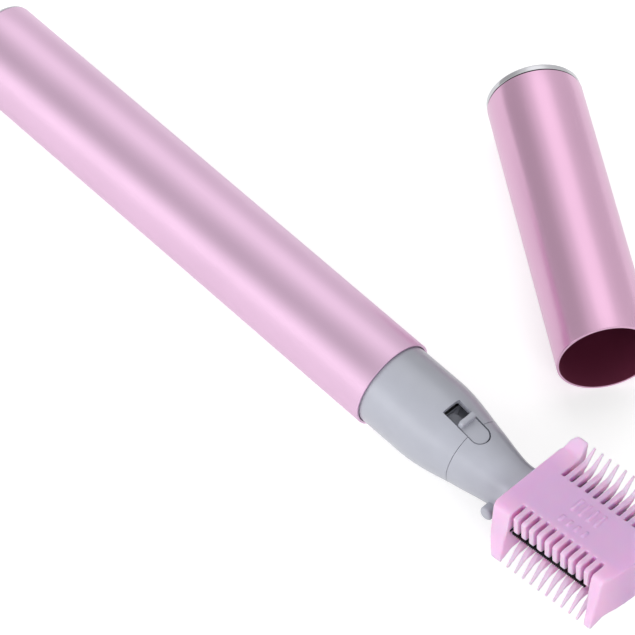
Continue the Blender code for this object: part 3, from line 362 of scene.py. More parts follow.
def placed(points, matrix):
    """Each point p becomes R p + t, for the matrix's turn R and place t."""
    turn = np.array(matrix.to_3x3())
    return points @ turn.T + np.array(matrix.translation)


def frame_matrix(along, up, origin):
    """Local X points along, local Z up, and local Y squares them."""
    along, up = Vector(along).normalized(), Vector(up).normalized()
    side = up.cross(along)
    matrix = Matrix((along, side, up)).transposed().to_4x4()
    matrix.translation = Vector(origin)
    return matrix


def rounded_path(corners, radii, steps=6):
    """A path whose corners are arcs.

    At a corner with radius r between unit directions a (back) and b (on), the arc's centre is
    the corner plus (a + b) / |a + b| * r / sin(h), where h is half the angle between them. The
    arc runs between the points r / tan(h) back and on. A radius of zero keeps the corner.
    """
    corners = np.asarray(corners, float)
    radii = np.broadcast_to(radii, len(corners))
    path = []
    for i, corner in enumerate(corners):
        if not radii[i]:
            path.append(corner[None])
            continue
        back = corners[i - 1] - corner
        ahead = corners[(i + 1) % len(corners)] - corner
        back, ahead = back / np.linalg.norm(back), ahead / np.linalg.norm(ahead)
        half = math.acos(float(np.clip(back @ ahead, -1, 1))) / 2
        centre = corner + (back + ahead) / np.linalg.norm(back + ahead) * radii[i] / math.sin(half)
        start = corner + back * radii[i] / math.tan(half) - centre
        end = corner + ahead * radii[i] / math.tan(half) - centre
        sweep = math.atan2(start[0] * end[1] - start[1] * end[0], start @ end)
        angle = (np.linspace(0, 1, steps) * sweep)[:, None]
        turned = np.hstack((
            start[0] * np.cos(angle) - start[1] * np.sin(angle),
            start[0] * np.sin(angle) + start[1] * np.cos(angle)))
        path.append(centre + turned)
    return np.vstack(path)


def turned_points(profile, sides):
    """Profile points (x, r) carried round the X axis: (x, r cos a, r sin a)."""
    angle = np.linspace(0, math.tau, sides, endpoint=False)[None, :]
    x, radius = profile[:, :1], profile[:, 1:]
    return np.stack((x + 0 * angle, radius * np.cos(angle), radius * np.sin(angle)), axis=-1)


def with_rows(profile, longest):
    """The same path, with points added so that no step is longer than the given length."""
    gaps = np.linalg.norm(np.diff(profile, axis=0), axis=1)
    counts = np.maximum(np.ceil(gaps / longest).astype(int), 1)
    place = np.concatenate([
        np.arange(count) / count + i for i, count in enumerate(counts)] + [[len(gaps)]])
    index = np.arange(len(profile))
    return np.stack([np.interp(place, index, profile[:, k]) for k in (0, 1)], axis=-1)


def tube_mesh(name, start, end, outer, inner, lie):
    """A tube with rounded ends, as a closed loop of (x, r) carried round the X axis."""
    edge = sizes().tube_edge
    loop = rounded_path(
        [(start, inner), (start, outer), (end, outer), (end, inner)], edge)
    loop = with_rows(np.vstack((loop, loop[:1])), TUBE_STEP)[:-1]
    return grid_mesh(name, turned_points(loop, sizes().sides), lie, closed_rows=True)


def plug_mesh(name, flange, thick, bore, spigot, lie):
    """A cup-shaped end plug: flat outer face at x = 0, rounded flange, open spigot."""
    inner, tip = bore - PLUG_WALL, thick + spigot
    profile = rounded_path(
        [(0, 0), (0, flange), (thick, flange), (thick, bore), (tip, bore), (tip, inner),
         (thick, inner), (thick, 0)],
        [0, sizes().plug_edge, *[PLUG_CORNER] * 5, 0])
    profile = with_rows(profile, PLUG_STEP)
    return grid_mesh(name, turned_points(profile, sizes().sides), lie)


def split_faces(mesh, matrix, test, material):
    """Give the material to the faces whose centres, seen in the matrix's frame, pass the test."""
    centres = np.zeros(len(mesh.polygons) * 3)
    mesh.polygons.foreach_get("center", centres)
    local = placed(centres.reshape(-1, 3), matrix.inverted())
    mesh.materials.append(material)
    mesh.polygons.foreach_set("material_index", test(local).astype(np.int32))


def section_values(place):
    """Half width, top, bottom and squareness of the housing, for an array of places.

    Between two rows of the table each value is a cubic with the slope at a row taken from the
    rows on both sides of it, so the surface has no kinks.
    """
    table = housing_shares
    share = np.asarray(place) / HEAD_LENGTH
    step = np.clip(np.searchsorted(table[:, 0], share) - 1, 0, len(table) - 2)
    before, here = table[np.maximum(step - 1, 0)], table[step]
    there, after = table[step + 1], table[np.minimum(step + 2, len(table) - 1)]
    span = there[..., :1] - here[..., :1]
    t = np.clip((share[..., None] - here[..., :1]) / span, 0, 1)
    leave = (there - before) / (there[..., :1] - before[..., :1]) * span
    arrive = (after - here) / (after[..., :1] - here[..., :1]) * span
    value = (
        (2 * t ** 3 - 3 * t ** 2 + 1) * here + (t ** 3 - 2 * t ** 2 + t) * leave
        + (3 * t ** 2 - 2 * t ** 3) * there + (t ** 3 - t ** 2) * arrive)
    reach = np.minimum(value[..., 1:4], 1) * COLLAR_RADIUS
    return reach[..., 0], reach[..., 1], reach[..., 2], value[..., 4]


def housing_points(loop, columns=192):
    """The housing's surface over a loop of (place, inset) and an angle.

    At angle a the point is (RIM + place, |cos a|^(2/p) (w - i), |sin a|^(2/p) (h - i)) with the
    signs of cos a and sin a, for half width w, height h, squareness p and inset i there.
    """
    place, inset = loop[:, :1], loop[:, 1:]
    width, top, bottom, power = (value[:, None] for value in section_values(loop[:, 0]))
    angle = np.linspace(0, math.tau, columns, endpoint=False)[None, :]
    c, s = np.cos(angle), np.sin(angle)
    tall = np.where(s > 0, top, bottom)
    across = np.sign(c) * np.abs(c) ** (2 / power) * np.maximum(width - inset, 0)
    up = np.sign(s) * np.abs(s) ** (2 / power) * np.maximum(tall - inset, 0)
    return np.stack((RIM + place + 0 * angle, across, up), axis=-1)


def outline_points(start, end, half_width, corner, steps=20):
    """Square at the barrel end, with small corners, and half round at the head end."""
    arc = np.linspace(-math.pi / 2, math.pi / 2, steps)
    round_end = np.stack((
        end - half_width + half_width * np.cos(arc), half_width * np.sin(arc)), axis=-1)
    square_end = rounded_path(
        [(end - half_width, half_width), (start, half_width), (start, -half_width),
         (end - half_width, -half_width)], [0, corner, corner, 0])
    return np.vstack((round_end[1:-1], square_end))


def pad_points(outline, low, high, edge, steps=6):
    """A flat pad over an outline, its top edge rounded.

    Each ring is the outline drawn in by d along its normal at height z, with d = e (1 - cos a)
    and z = high - e (1 - sin a) round the edge e, and the first and last rings are points.
    """
    run = np.roll(outline, -1, axis=0) - np.roll(outline, 1, axis=0)
    inward = np.stack((-run[:, 1], run[:, 0]), axis=-1)
    inward /= np.linalg.norm(inward, axis=1, keepdims=True)
    angle = np.linspace(0, math.pi / 2, steps)
    draw_in = np.concatenate(([0], edge * (1 - np.cos(angle))))
    level = np.concatenate(([low], high - edge * (1 - np.sin(angle))))
    rings = outline[None] + inward[None] * draw_in[:, None, None]
    middle = outline.mean(axis=0)
    bottom = np.broadcast_to(middle, (1, *outline.shape))
    rings = np.concatenate((bottom, rings, bottom))
    level = np.concatenate(([low], level, [high]))
    return np.concatenate((rings, np.broadcast_to(
        level[:, None, None], (*rings.shape[:2], 1))), axis=-1)


def block_points(low, high, edge, steps=6):
    """A block whose edges and corners are rounded.

    The point in direction d of the unit sphere is sign(d) (half size - e) + e d about the
    block's centre. Each eighth of the sphere has its own angles, so the flat faces are single
    quads between them.
    """
    low, high = np.asarray(low, float), np.asarray(high, float)
    core = (high - low) / 2 - edge
    quarter = np.linspace(0, math.pi / 2, steps)
    turn = np.concatenate([quarter + k * math.pi / 2 for k in range(4)])[None, :]
    side = np.repeat(np.array(((1, 1), (-1, 1), (-1, -1), (1, -1))), steps, axis=0)[None]
    rise = np.concatenate((quarter - math.pi / 2, quarter))[:, None]
    tall = np.repeat((-1, 1), steps)[:, None]
    ball = np.stack((
        np.cos(rise) * np.cos(turn), np.cos(rise) * np.sin(turn),
        np.sin(rise) + 0 * turn), axis=-1)
    corner = np.stack((
        side[..., 0] + 0 * tall, side[..., 1] + 0 * tall, tall + 0 * side[..., 0]), axis=-1)
    body = corner * core + edge * ball
    ends = np.zeros((1, body.shape[1], 3))
    floor, roof = ends.copy(), ends.copy()
    floor[..., 2], roof[..., 2] = body[0, 0, 2], body[-1, 0, 2]
    return np.concatenate((floor, body, roof)) + (low + high) / 2


def toothed_points(low, high):
    """A strip between two corners whose outer edge is a row of pointed teeth.

    At half pitch k the edge is at STRIP_ROOT for even k and at STRIP_TIP for odd k. Its faces
    lie a hair inside the two corners' heights, so that they share no plane with the blade's.
    """
    half_pitches = 2 * FINE_TEETH + 1
    ring = np.zeros((half_pitches, 4, 3))
    ring[..., 0] = np.linspace(low[0], high[0], half_pitches)[:, None]
    edge = np.where(np.arange(half_pitches) % 2, STRIP_TIP, STRIP_ROOT)
    ring[:, :, 1] = np.stack((0 * edge + STRIP_IN, edge, edge, 0 * edge + STRIP_IN), axis=-1)
    under, over = low[2] + HAIR, high[2] - HAIR
    ring[..., 2] = (under, under, over, over)
    back, front = ring[0].mean(axis=0), ring[-1].mean(axis=0)
    return np.concatenate((
        np.broadcast_to(back, (1, 4, 3)), ring, np.broadcast_to(front, (1, 4, 3))))


def linked(name, data):
    """A new object of the scene with this data."""
    made = bpy.data.objects.new(name, data)
    bpy.context.scene.collection.objects.link(made)
    return made


def new_piece(mesh, material, body, slot, *nodes):
    """Show the mesh with its finish, riding on its body, in place of the nodes."""
    piece = linked(mesh.name, mesh)
    mesh.materials.clear()
    mesh.materials.append(material)
    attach(piece, body)
    if nodes:
        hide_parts(*nodes)
    return piece


def boolean(mesh, tool, operation):
    """The mesh with the tool's shape taken away or added."""
    owner, other = linked(mesh.name, mesh), linked("tool", tool)
    step = owner.modifiers.new("step", "BOOLEAN")
    step.operation = operation
    step.solver = "EXACT"
    step.object = other
    result = baked(owner, mesh.name)
    bpy.data.objects.remove(other, do_unlink=True)
    if not result.polygons:
        raise RuntimeError(f"nothing is left of {mesh.name}")
    return result


def baked(owner, name):
    """The object's mesh with its modifiers applied. The object itself is removed."""
    bpy.context.view_layer.update()
    shown = owner.evaluated_get(bpy.context.evaluated_depsgraph_get())
    result = bpy.data.meshes.new_from_object(shown)
    bpy.data.objects.remove(owner, do_unlink=True)
    result.name = name
    return result


def set_edges(mesh, degrees=CRISP_ANGLE):
    """Round shading, except across edges sharper than the angle."""
    mesh.shade_smooth()
    mesh.set_sharp_from_angle(angle=math.radians(degrees))


class Finish:
    """A node material built up step by step around one Principled shader."""

    def __init__(self, name, turn=0.0):
        self.material = bpy.data.materials.new(name)
        self.material.use_nodes = True
        self.tree = self.material.node_tree
        self.shader = self.tree.nodes["Principled BSDF"]
        self.place = self.node("ShaderNodeTexCoord").outputs["Object"]
        self.turn = turn

    def node(self, kind, **settings):
        made = self.tree.nodes.new(kind)
        for name, value in settings.items():
            setattr(made, name, value)
        return made

    def link(self, source, target):
        self.tree.links.new(source, target)

    def set(self, **values):
        """Constant values, set on the shader's own sockets."""
        for name, value in values.items():
            socket = self.shader.inputs[name.replace("_", " ")]
            socket.default_value = (*value, 1) if socket.type == "RGBA" else value
        return self

    def noise(self, stretch, detail=2.0, roughness=0.5):
        """Noise over the place, scaled per metre along each axis, turned about Z."""
        lay = self.node("ShaderNodeMapping", vector_type="POINT")
        lay.inputs["Rotation"].default_value = (0, 0, -self.turn)
        self.link(self.place, lay.inputs["Vector"])
        spread = self.node("ShaderNodeVectorMath", operation="MULTIPLY")
        spread.inputs[1].default_value = stretch
        self.link(lay.outputs["Vector"], spread.inputs[0])
        made = self.node("ShaderNodeTexNoise")
        made.inputs["Scale"].default_value = 1
        made.inputs["Detail"].default_value = detail
        made.inputs["Roughness"].default_value = roughness
        self.link(spread.outputs["Vector"], made.inputs["Vector"])
        return made.outputs["Fac"]

    def axis(self, letter):
        """The place along one axis of the shared frame."""
        split = self.node("ShaderNodeSeparateXYZ")
        self.link(self.place, split.inputs["Vector"])
        return split.outputs[letter]

    def along(self, solid):
        """The place along X as a share of a solid's length."""
        low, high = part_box(solid)
        return self.span(self.axis("X"), 0, 1, low.x, high.x)

    def ramp(self, source, *stops):
        """Colours at places along a value."""
        made = self.node("ShaderNodeValToRGB")
        band = made.color_ramp
        while len(band.elements) < len(stops):
            band.elements.new(0.5)
        for element, (place, colour) in zip(band.elements, stops):
            element.position = place
            element.color = (*colour, 1)
        self.link(source, made.inputs["Fac"])
        return made.outputs["Color"]

    def span(self, source, low, high, start=0.0, end=1.0):
        """A value moved from the range start to end into the range low to high."""
        made = self.node("ShaderNodeMapRange")
        made.inputs["From Min"].default_value = start
        made.inputs["From Max"].default_value = end
        made.inputs["To Min"].default_value = low
        made.inputs["To Max"].default_value = high
        self.link(source, made.inputs["Value"])
        return made.outputs["Result"]

    def colour(self, source):
        self.link(source, self.shader.inputs["Base Color"])
        return self

    def mottled(self, colour, source, amount):
        """The colour, made a little darker and lighter by a value."""
        dark = tuple(c * (1 - amount) for c in colour)
        light = tuple(min(c * (1 + amount), 1) for c in colour)
        dark_end, light_start = 0.3, 0.7
        return self.colour(self.ramp(source, (dark_end, dark), (light_start, light)))

    def rough(self, source, low, high):
        self.link(self.span(source, low, high), self.shader.inputs["Roughness"])
        return self

    def bump(self, source, height, strength=1.0):
        made = self.node("ShaderNodeBump")
        made.inputs["Strength"].default_value = strength
        made.inputs["Distance"].default_value = height
        self.link(source, made.inputs["Height"])
        self.link(made.outputs["Normal"], self.shader.inputs["Normal"])
        return self


def anodised(name, colour, low, turn=0.0, spread=0.10):
    """Satin anodised metal with a faint drawn grain along the tube."""
    look = Finish(name, turn)
    grain = look.noise(stretch=(70, 9000, 9000), detail=3)
    cloud = look.noise(stretch=(60, 120, 120), detail=1)
    look.set(Metallic=1.0)
    look.mottled(colour, cloud, amount=0.02)
    look.rough(grain, low, low + spread)
    return look.bump(grain, height=0.000002, strength=0.35).material


def chromed(name, colour):
    """Bright chrome with a slight haze."""
    look = Finish(name)
    haze = look.noise(stretch=(900, 900, 900), detail=2)
    look.set(Metallic=1.0)
    look.mottled(colour, haze, amount=0.02)
    return look.rough(haze, low=0.03, high=0.08).material


def moulded(name, colour, grain_height=0.000003, low=0.34, high=0.46, coat=0.0):
    """Moulded plastic: a very fine spark grain and a slight change of shade."""
    look = Finish(name)
    grain = look.noise(stretch=(11000, 11000, 11000), detail=2)
    cloud = look.noise(stretch=(220, 220, 220), detail=2)
    look.mottled(colour, cloud, amount=0.025)
    look.rough(cloud, low, high)
    if coat:
        look.set(Coat_Weight=coat, Coat_Roughness=0.16)
    return look.bump(grain, grain_height, strength=0.4).material


def grey_plastic(name):
    """Satin grey plastic with a soft clear sheen."""
    return moulded(name, colours().grey, low=0.30, high=0.38, coat=0.45)


def ground_steel(name, colour, low=0.22, high=0.40, stretch=(12000, 500, 500)):
    """Ground or drawn metal: fine lines, dull and bright by turns."""
    look = Finish(name)
    lines = look.noise(stretch, detail=3, roughness=0.6)
    look.set(Metallic=1.0)
    look.mottled(colour, lines, amount=0.06)
    look.rough(lines, low, high)
    return look.bump(lines, height=0.0000015, strength=0.4).material


def milky(name, plate, root, tip):
    """Milky see-through plastic: lilac in the plate, with painted pink shade where the teeth
    begin and painted light that makes their tips pale.

    Across the comb the colours follow |y| as a share of its half width. The end walls go
    straight from the plate's colour to the tips' painted light, and X blends from them into
    the slotted run, where the painted pink shade of the slots lies.
    """
    plate_end, root_shade_place, tip_light_start = 0.40, 0.60, 0.78
    rear_wall, slots_start, slots_end, front_wall = 0.06, 0.20, 0.82, 0.94
    black, white = (0, 0, 0), (1, 1, 1)
    look = Finish(name)
    cloud = look.noise(stretch=(160, 160, 160), detail=2)
    grain = look.noise(stretch=(9000, 9000, 9000), detail=2)
    reach = look.node("ShaderNodeMath", operation="ABSOLUTE")
    look.link(look.axis("Y"), reach.inputs[0])
    share = look.span(reach.outputs["Value"], 0, 1, 0, COMB_REACH)
    # The walls blend the plate into the tips' painted light; the teeth also pass the painted pink
    # shade at their roots
    walls = look.ramp(share, (plate_end, plate), (tip_light_start, tip))
    teeth = look.ramp(share, (plate_end, plate), (root_shade_place, root), (tip_light_start, tip))
    blend = look.node("ShaderNodeMix", data_type="RGBA")
    # Along X, a mask that keeps the painted pink shade of the teeth roots to the slotted run
    slotted = look.ramp(
        look.along("eyebrow_comb"), (rear_wall, black), (slots_start, white), (slots_end, white),
        (front_wall, black))
    look.link(slotted, blend.inputs[0])
    look.link(walls, blend.inputs[6])
    look.link(teeth, blend.inputs[7])
    look.set(
        Subsurface_Weight=0.80, Subsurface_Scale=0.0030, Subsurface_Radius=(1.0, 0.45, 0.65),
        IOR=1.49, Transmission_Weight=0.22, Coat_Weight=0.15, Coat_Roughness=0.3)
    look.colour(blend.outputs[2])
    look.rough(cloud, low=0.34, high=0.44)
    return look.bump(grain, height=0.000004, strength=0.3).material


def jacket(name):
    """Battery film: plain dark with a copper band at the positive end, bare steel ends."""
    look = Finish(name)
    end_stop, film_start = 0.012, 0.014
    film_stop, band_start = 0.70, 0.702
    band_stop, end_start = 0.955, 0.957
    colour = look.ramp(
        look.along("battery_cell"), (0, CELL_END), (end_stop, CELL_END), (film_start, CELL_FILM),
        (film_stop, CELL_FILM), (band_start, CELL_BAND), (band_stop, CELL_BAND),
        (end_start, CELL_END))
    wear = look.noise(stretch=(300, 300, 300), detail=2)
    look.set(Metallic=0.35)
    return look.colour(colour).rough(wear, low=0.25, high=0.40).material


class TRIMMER_OT_barrel(bpy.types.Operator):
    """Anodised barrel tube and its chrome tail plug"""

    bl_idname = "trimmer.barrel"
    bl_label = "Barrel"

    def execute(self, context):
        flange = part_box("tail_plug")[1].z
        bore = BARREL_RADIUS - BARREL_WALL
        here = Matrix.Identity(4)
        tube = tube_mesh("barrel_shell", BARREL_LOW.x, RIM, BARREL_RADIUS, bore, here)
        new_piece(
            tube, anodised("anodised_barrel", colours().aluminium, low=0.32), "barrel",
            "pink_aluminium", "barrel_tube")
        plug = plug_mesh(
            "barrel_plug", flange, TAIL_FLANGE, bore - PLUG_SEAT, TAIL_SPIGOT, here)
        new_piece(
            plug, chromed("chrome_barrel_plug", colours().chrome), "barrel", "chrome", "tail_plug")
        return {"FINISHED"}


class TRIMMER_OT_cap(bpy.types.Operator):
    """Anodised cap whose bore is near-black painted shade, and a chrome end plug"""

    bl_idname = "trimmer.cap"
    bl_label = "Cap"

    def execute(self, context):
        toward = Vector((math.cos(CAP_HEADING), math.sin(CAP_HEADING), 0))
        end = Vector(CAP_MOUTH) - toward * CAP_LENGTH
        lie = frame_matrix(toward, (0, 0, 1), end)
        bore = CAP_RADIUS - CAP_WALL
        tube = tube_mesh(
            "cap_shell", CAP_FLANGE + SEAM, CAP_LENGTH, CAP_RADIUS, bore, lie)
        # The cap's colour is the barrel's finish made pinker and darker, the darkening as painted
        # shade
        outside = anodised("anodised_cap", colours().cap, low=0.20, turn=CAP_HEADING)
        new_piece(tube, outside, "cap", "pink_aluminium", "cap_tube")
        # Faces inside the cap take the near-black painted shade
        split_faces(
            tube, lie, lambda local: np.hypot(local[:, 1], local[:, 2]) < bore + CAP_WALL / 4,
            moulded("cap_bore_painted_shade", colours().bore, low=0.45, high=0.6))
        plug = plug_mesh(
            "cap_end_plug", CAP_RADIUS - CAP_FLANGE_INSET, CAP_FLANGE, bore - PLUG_SEAT,
            CAP_SPIGOT, lie)
        new_piece(plug, chromed("chrome_cap_plug", colours().chrome), "cap", "chrome", "cap_plug")
        # Painted shadow: the spigot faces in the seam gap are near-black, standing in for its
        # shade
        split_faces(
            plug, lie, lambda local: local[:, 0] > CAP_FLANGE - PLUG_SEAT / 2,
            moulded("seam_painted_shadow", SEAM_SHADOW_PAINT, low=0.5, high=0.7))
        return {"FINISHED"}


def slot_frame():
    """Where the switch sits: the middle of its slot on the housing's top, sloped with it."""
    tops = section_values(np.array((SLOT_START, SLOT_START + SLOT_LENGTH)))[1]
    slope = math.atan2(tops[0] - tops[1], SLOT_LENGTH)
    along = (math.cos(slope), 0, -math.sin(slope))
    up = (math.sin(slope), 0, math.cos(slope))
    return frame_matrix(along, up, (RIM + SLOT_START + SLOT_LENGTH / 2, 0, tops.mean()))


def head_frame():
    """Where the blades and the comb sit, pitched up from the pen's axis."""
    along = (math.cos(HEAD_PITCH), 0, math.sin(HEAD_PITCH))
    up = (-math.sin(HEAD_PITCH), 0, math.cos(HEAD_PITCH))
    return frame_matrix(along, up, (RIM + HEAD_PLACE, 0, HEAD_RISE))


class TRIMMER_OT_housing(bpy.types.Operator):
    """Grey collar and neck with their parting line, switch slot and release lugs"""

    bl_idname = "trimmer.housing"
    bl_label = "Head housing"

    def execute(self, context):
        grey = grey_plastic("grey_housing")
        edge, front = sizes().parting_edge, sizes().neck_edge
        to_axis = COLLAR_RADIUS
        collar_loop = rounded_path(
            [(-COLLAR_INSERT, HOUSING_WALL), (-COLLAR_INSERT, 0), (PARTING_PLACE, 0),
             (PARTING_PLACE, HOUSING_WALL)], edge)
        collar_loop = with_rows(np.vstack((collar_loop, collar_loop[:1])), HOUSING_STEP)[:-1]
        collar = grid_mesh("collar_shell", housing_points(collar_loop), closed_rows=True)
        start = PARTING_PLACE + PARTING_GAP
        neck_path = rounded_path(
            [(HEAD_LENGTH - NOSE_WALL, to_axis), (HEAD_LENGTH - NOSE_WALL, HOUSING_WALL),
             (start, HOUSING_WALL), (start, 0), (HEAD_LENGTH, 0), (HEAD_LENGTH, to_axis)],
            [0, edge, edge, edge, front, 0])
        neck = grid_mesh("neck_shell", housing_points(with_rows(neck_path, HOUSING_STEP)))
        lie = slot_frame()
        half = SLOT_LENGTH / 2
        outline = outline_points(-half, half, SLOT_WIDTH / 2, SLOT_CORNER)
        for mesh in (collar, neck):
            low, high = -PAD_DEPTH - SLOT_SPARE, 2 * HOUSING_WALL
            tool = grid_mesh("slot_tool", pad_points(outline, low, high, HAIR), lie)
            cut = boolean(mesh, tool, "DIFFERENCE")
            if mesh is neck:
                cut = self.with_socket(cut)
            set_edges(cut)
            new_piece(cut, grey, "works", "grey_plastic", mesh.name.replace("shell", "housing"))
        self.add_lugs(grey)
        self.add_recess_floor(grey)
        return {"FINISHED"}

    def add_recess_floor(self, grey):
        """The floor under the switch, its round hole closed by a shallow dish."""
        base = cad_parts["switch_base"].data.copy()
        base.name = "recess_floor"
        dent_place = (SWITCH_TRAVEL - SLOT_LENGTH) / 2
        top = -PAD_DEPTH - FOOT_DEPTH - FOOT_GAP
        arc = np.linspace(0, 1, 12)
        bowl = np.stack((top - DENT_DEPTH * (1 - arc ** 2), DENT_RADIUS * arc), axis=-1)
        under = np.array((
            (top - DENT_DEPTH - DENT_WALL, DENT_RADIUS + DENT_WALL),
            (top - DENT_DEPTH - DENT_WALL, 0)))
        dish = turned_points(np.vstack((bowl, under)), DENT_SIDES)
        dish = np.stack((dish[..., 1] + dent_place, dish[..., 2], dish[..., 0]), axis=-1)
        floor = boolean(base, grid_mesh("dent_tool", dish, slot_frame()), "UNION")
        set_edges(floor)
        new_piece(floor, grey, "works", "grey_plastic", "switch_base")

    def with_socket(self, mesh):
        """Open the neck's front for the blade's tail and its driver."""
        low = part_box("blade_frame")[0]
        level = (head_frame().inverted() @ Vector((low.x, 0, low.z))).z
        socket = block_points(
            (SOCKET_BACK, SOCKET_NEAR, level),
            (SOCKET_FRONT, SOCKET_FAR, level + SOCKET_HEIGHT), SOCKET_EDGE)
        tool = grid_mesh("socket_tool", socket, head_frame())
        return boolean(mesh, tool, "DIFFERENCE")

    def add_lugs(self, grey):
        """Round-ended lugs across the neck: (y, r) profiles turned about the Y axis."""
        for side, name in ((-1, "near_lug"), (1, "far_lug")):
            root = LUG_REACH - LUG_LENGTH
            profile = rounded_path(
                [(root, 0), (root, LUG_RADIUS), (LUG_REACH, LUG_RADIUS), (LUG_REACH, 0)],
                [0, 0, LUG_EDGE, 0], steps=10)
            lie = frame_matrix((0, side, 0), (0, 0, 1), (RIM + LUG_PLACE, 0, -LUG_DROP))
            mesh = grid_mesh(name, turned_points(profile, LUG_SIDES), lie)
            set_edges(mesh, LUG_CRISP_ANGLE)
            new_piece(mesh, grey, "works", "grey_plastic")


class TRIMMER_OT_switch(bpy.types.Operator):
    """Slide switch: a sunk pad with a cross rib, on a wider foot"""

    bl_idname = "trimmer.switch"
    bl_label = "Slide switch"

    def execute(self, context):
        half = SLOT_LENGTH / 2
        start = -half + SWITCH_TRAVEL + SWITCH_GAP
        wide = SLOT_WIDTH / 2 - SWITCH_GAP
        outline = outline_points(start, half - SWITCH_GAP, wide, PAD_CORNER)
        lie = slot_frame()
        low = -PAD_DEPTH - FOOT_DEPTH / 2
        pad = grid_mesh(
            "switch_button", pad_points(outline, low, -PAD_SINK, sizes().pad_edge), lie)
        rib = block_points(
            (start + RIB_INSET, -wide + RIB_INSET, -RIB_ROOT),
            (start + RIB_INSET + RIB_LENGTH, wide - RIB_INSET, RIB_HEIGHT - PAD_SINK), RIB_EDGE)
        pad = boolean(pad, grid_mesh("rib_tool", rib, lie), "UNION")
        foot = block_points(
            (start + SWITCH_GAP, -FOOT_WIDTH / 2, -PAD_DEPTH - FOOT_DEPTH),
            (start + SWITCH_GAP + FOOT_LENGTH, FOOT_WIDTH / 2, -PAD_DEPTH), FOOT_EDGE)
        pad = boolean(pad, grid_mesh("foot_tool", foot, lie), "UNION")
        set_edges(pad)
        new_piece(
            pad, grey_plastic("grey_switch"), "switch", "grey_plastic", "switch_slider")
        return {"FINISHED"}


class TRIMMER_OT_comb(bpy.types.Operator):
    """Milky comb with softly moulded edges and plain length bars"""

    bl_idname = "trimmer.comb"
    bl_label = "Comb"

    def execute(self, context):
        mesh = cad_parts["eyebrow_comb"].data.copy()
        mesh.name = "comb_skin"
        close_up(mesh, WELD)
        self.add_bars(mesh)
        skin = linked(mesh.name, mesh).modifiers.new("even_skin", "REMESH")
        skin.mode = "VOXEL"
        skin.voxel_size = sizes().comb_voxel
        comb = linked("comb_skin", baked(skin.id_data, "comb_skin"))
        self.mark_walls(comb)
        for group, repeats in (("", EDGE_ROUNDING), ("walls", sizes().wall_rounding)):
            soften = comb.modifiers.new("moulded_edges", "SMOOTH")
            soften.factor = 0.5
            soften.iterations = repeats
            soften.vertex_group = group
        dense = baked(comb, "comb_skin")
        triangles = sum(len(face.vertices) - 2 for face in dense.polygons)
        comb = linked("comb_skin", dense)
        if triangles > sizes().comb_triangles:
            thin = comb.modifiers.new("fewer_faces", "DECIMATE")
            thin.ratio = sizes().comb_triangles / triangles
        done = baked(comb, "comb_skin")
        done.shade_smooth()
        # The comb's colours hold painted shade at the teeth roots and painted light at their tips
        plastic = milky(
            "milky_comb", colours().comb, colours().comb_root_shade, colours().comb_tip_light)
        new_piece(done, plastic, "comb", "milky_plastic", "eyebrow_comb")
        return {"FINISHED"}

    def mark_walls(self, comb):
        """Weigh the thick end walls: 1 outside the slots, fading to 0 at the first tooth."""
        count = len(comb.data.vertices)
        places = np.zeros(count * 3)
        comb.data.vertices.foreach_get("co", places)
        local = placed(places.reshape(-1, 3), head_frame().inverted())[:, 0]
        outside = np.maximum(COMB_SLOTS_START - local, local - COMB_SLOTS_END)
        weight = np.clip(outside / WALL_FADE, 0, 1)
        group = comb.vertex_groups.new(name="walls")
        for step in range(1, WALL_LEVELS + 1):
            chosen = np.flatnonzero(np.ceil(weight * WALL_LEVELS) == step)
            group.add(chosen.tolist(), step / WALL_LEVELS, "REPLACE")

    def add_bars(self, mesh):
        """Raised bars on the plate: short ones by the short teeth, long ones by the long."""
        proud = sizes().mark_height
        shape = bmesh.new()
        shape.from_mesh(mesh)
        for middle, length in bar_rows:
            for k in range(BARS_IN_ROW):
                along = COMB_START + BAR_START + BAR_PITCH * k
                block = block_points(
                    (along - BAR_WIDTH / 2, middle - length / 2, COMB_TOP - BAR_ROOT),
                    (along + BAR_WIDTH / 2, middle + length / 2, COMB_TOP + proud), BAR_EDGE)
                bar = grid_mesh("bar", block, head_frame())
                shape.from_mesh(bar)
                bpy.data.meshes.remove(bar)
        shape.to_mesh(mesh)
        shape.free()


class TRIMMER_OT_blades(bpy.types.Operator):
    """Ground blades, near-black as painted shade where they lie under the comb, and the pieces
    that hold and drive them
    """

    bl_idname = "trimmer.blades"
    bl_label = "Blades"

    def execute(self, context):
        # The blade steel is near-black as painted shade
        blade = ground_steel("blade_steel_painted_shade", colours().blade, low=0.25, high=0.42)
        holder = ground_steel("bright_steel", BLADE_HOLDER, low=0.20, high=0.36)
        dark = moulded("dark_blade_frame", BLADE_FRAME)
        give(blade, "moving_blade")
        self.add_toothed_blade(blade)
        give(holder, "blade_retainer", "rear_rivet", "front_rivet")
        give(dark, "blade_frame")
        return {"FINISHED"}

    def add_toothed_blade(self, blade):
        """The lower blade, with a strip of fine teeth along each side."""
        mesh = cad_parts["fixed_blade"].data.copy()
        mesh.name = "toothed_blade"
        close_up(mesh, WELD)
        places = np.array([corner.co for corner in mesh.vertices])
        local = placed(places, head_frame().inverted())
        low, high = local.min(axis=0), local.max(axis=0)
        low[0], high[0] = COMB_SLOTS_START + STRIP_GAP, high[0] - BLADE_END_MARGIN
        for side in (-1, 1):
            strip = toothed_points(low, high) * (1, side, 1)
            mesh = boolean(mesh, grid_mesh("strip_tool", strip, head_frame()), "UNION")
        set_edges(mesh)
        new_piece(mesh, blade, "works", "steel", "fixed_blade")


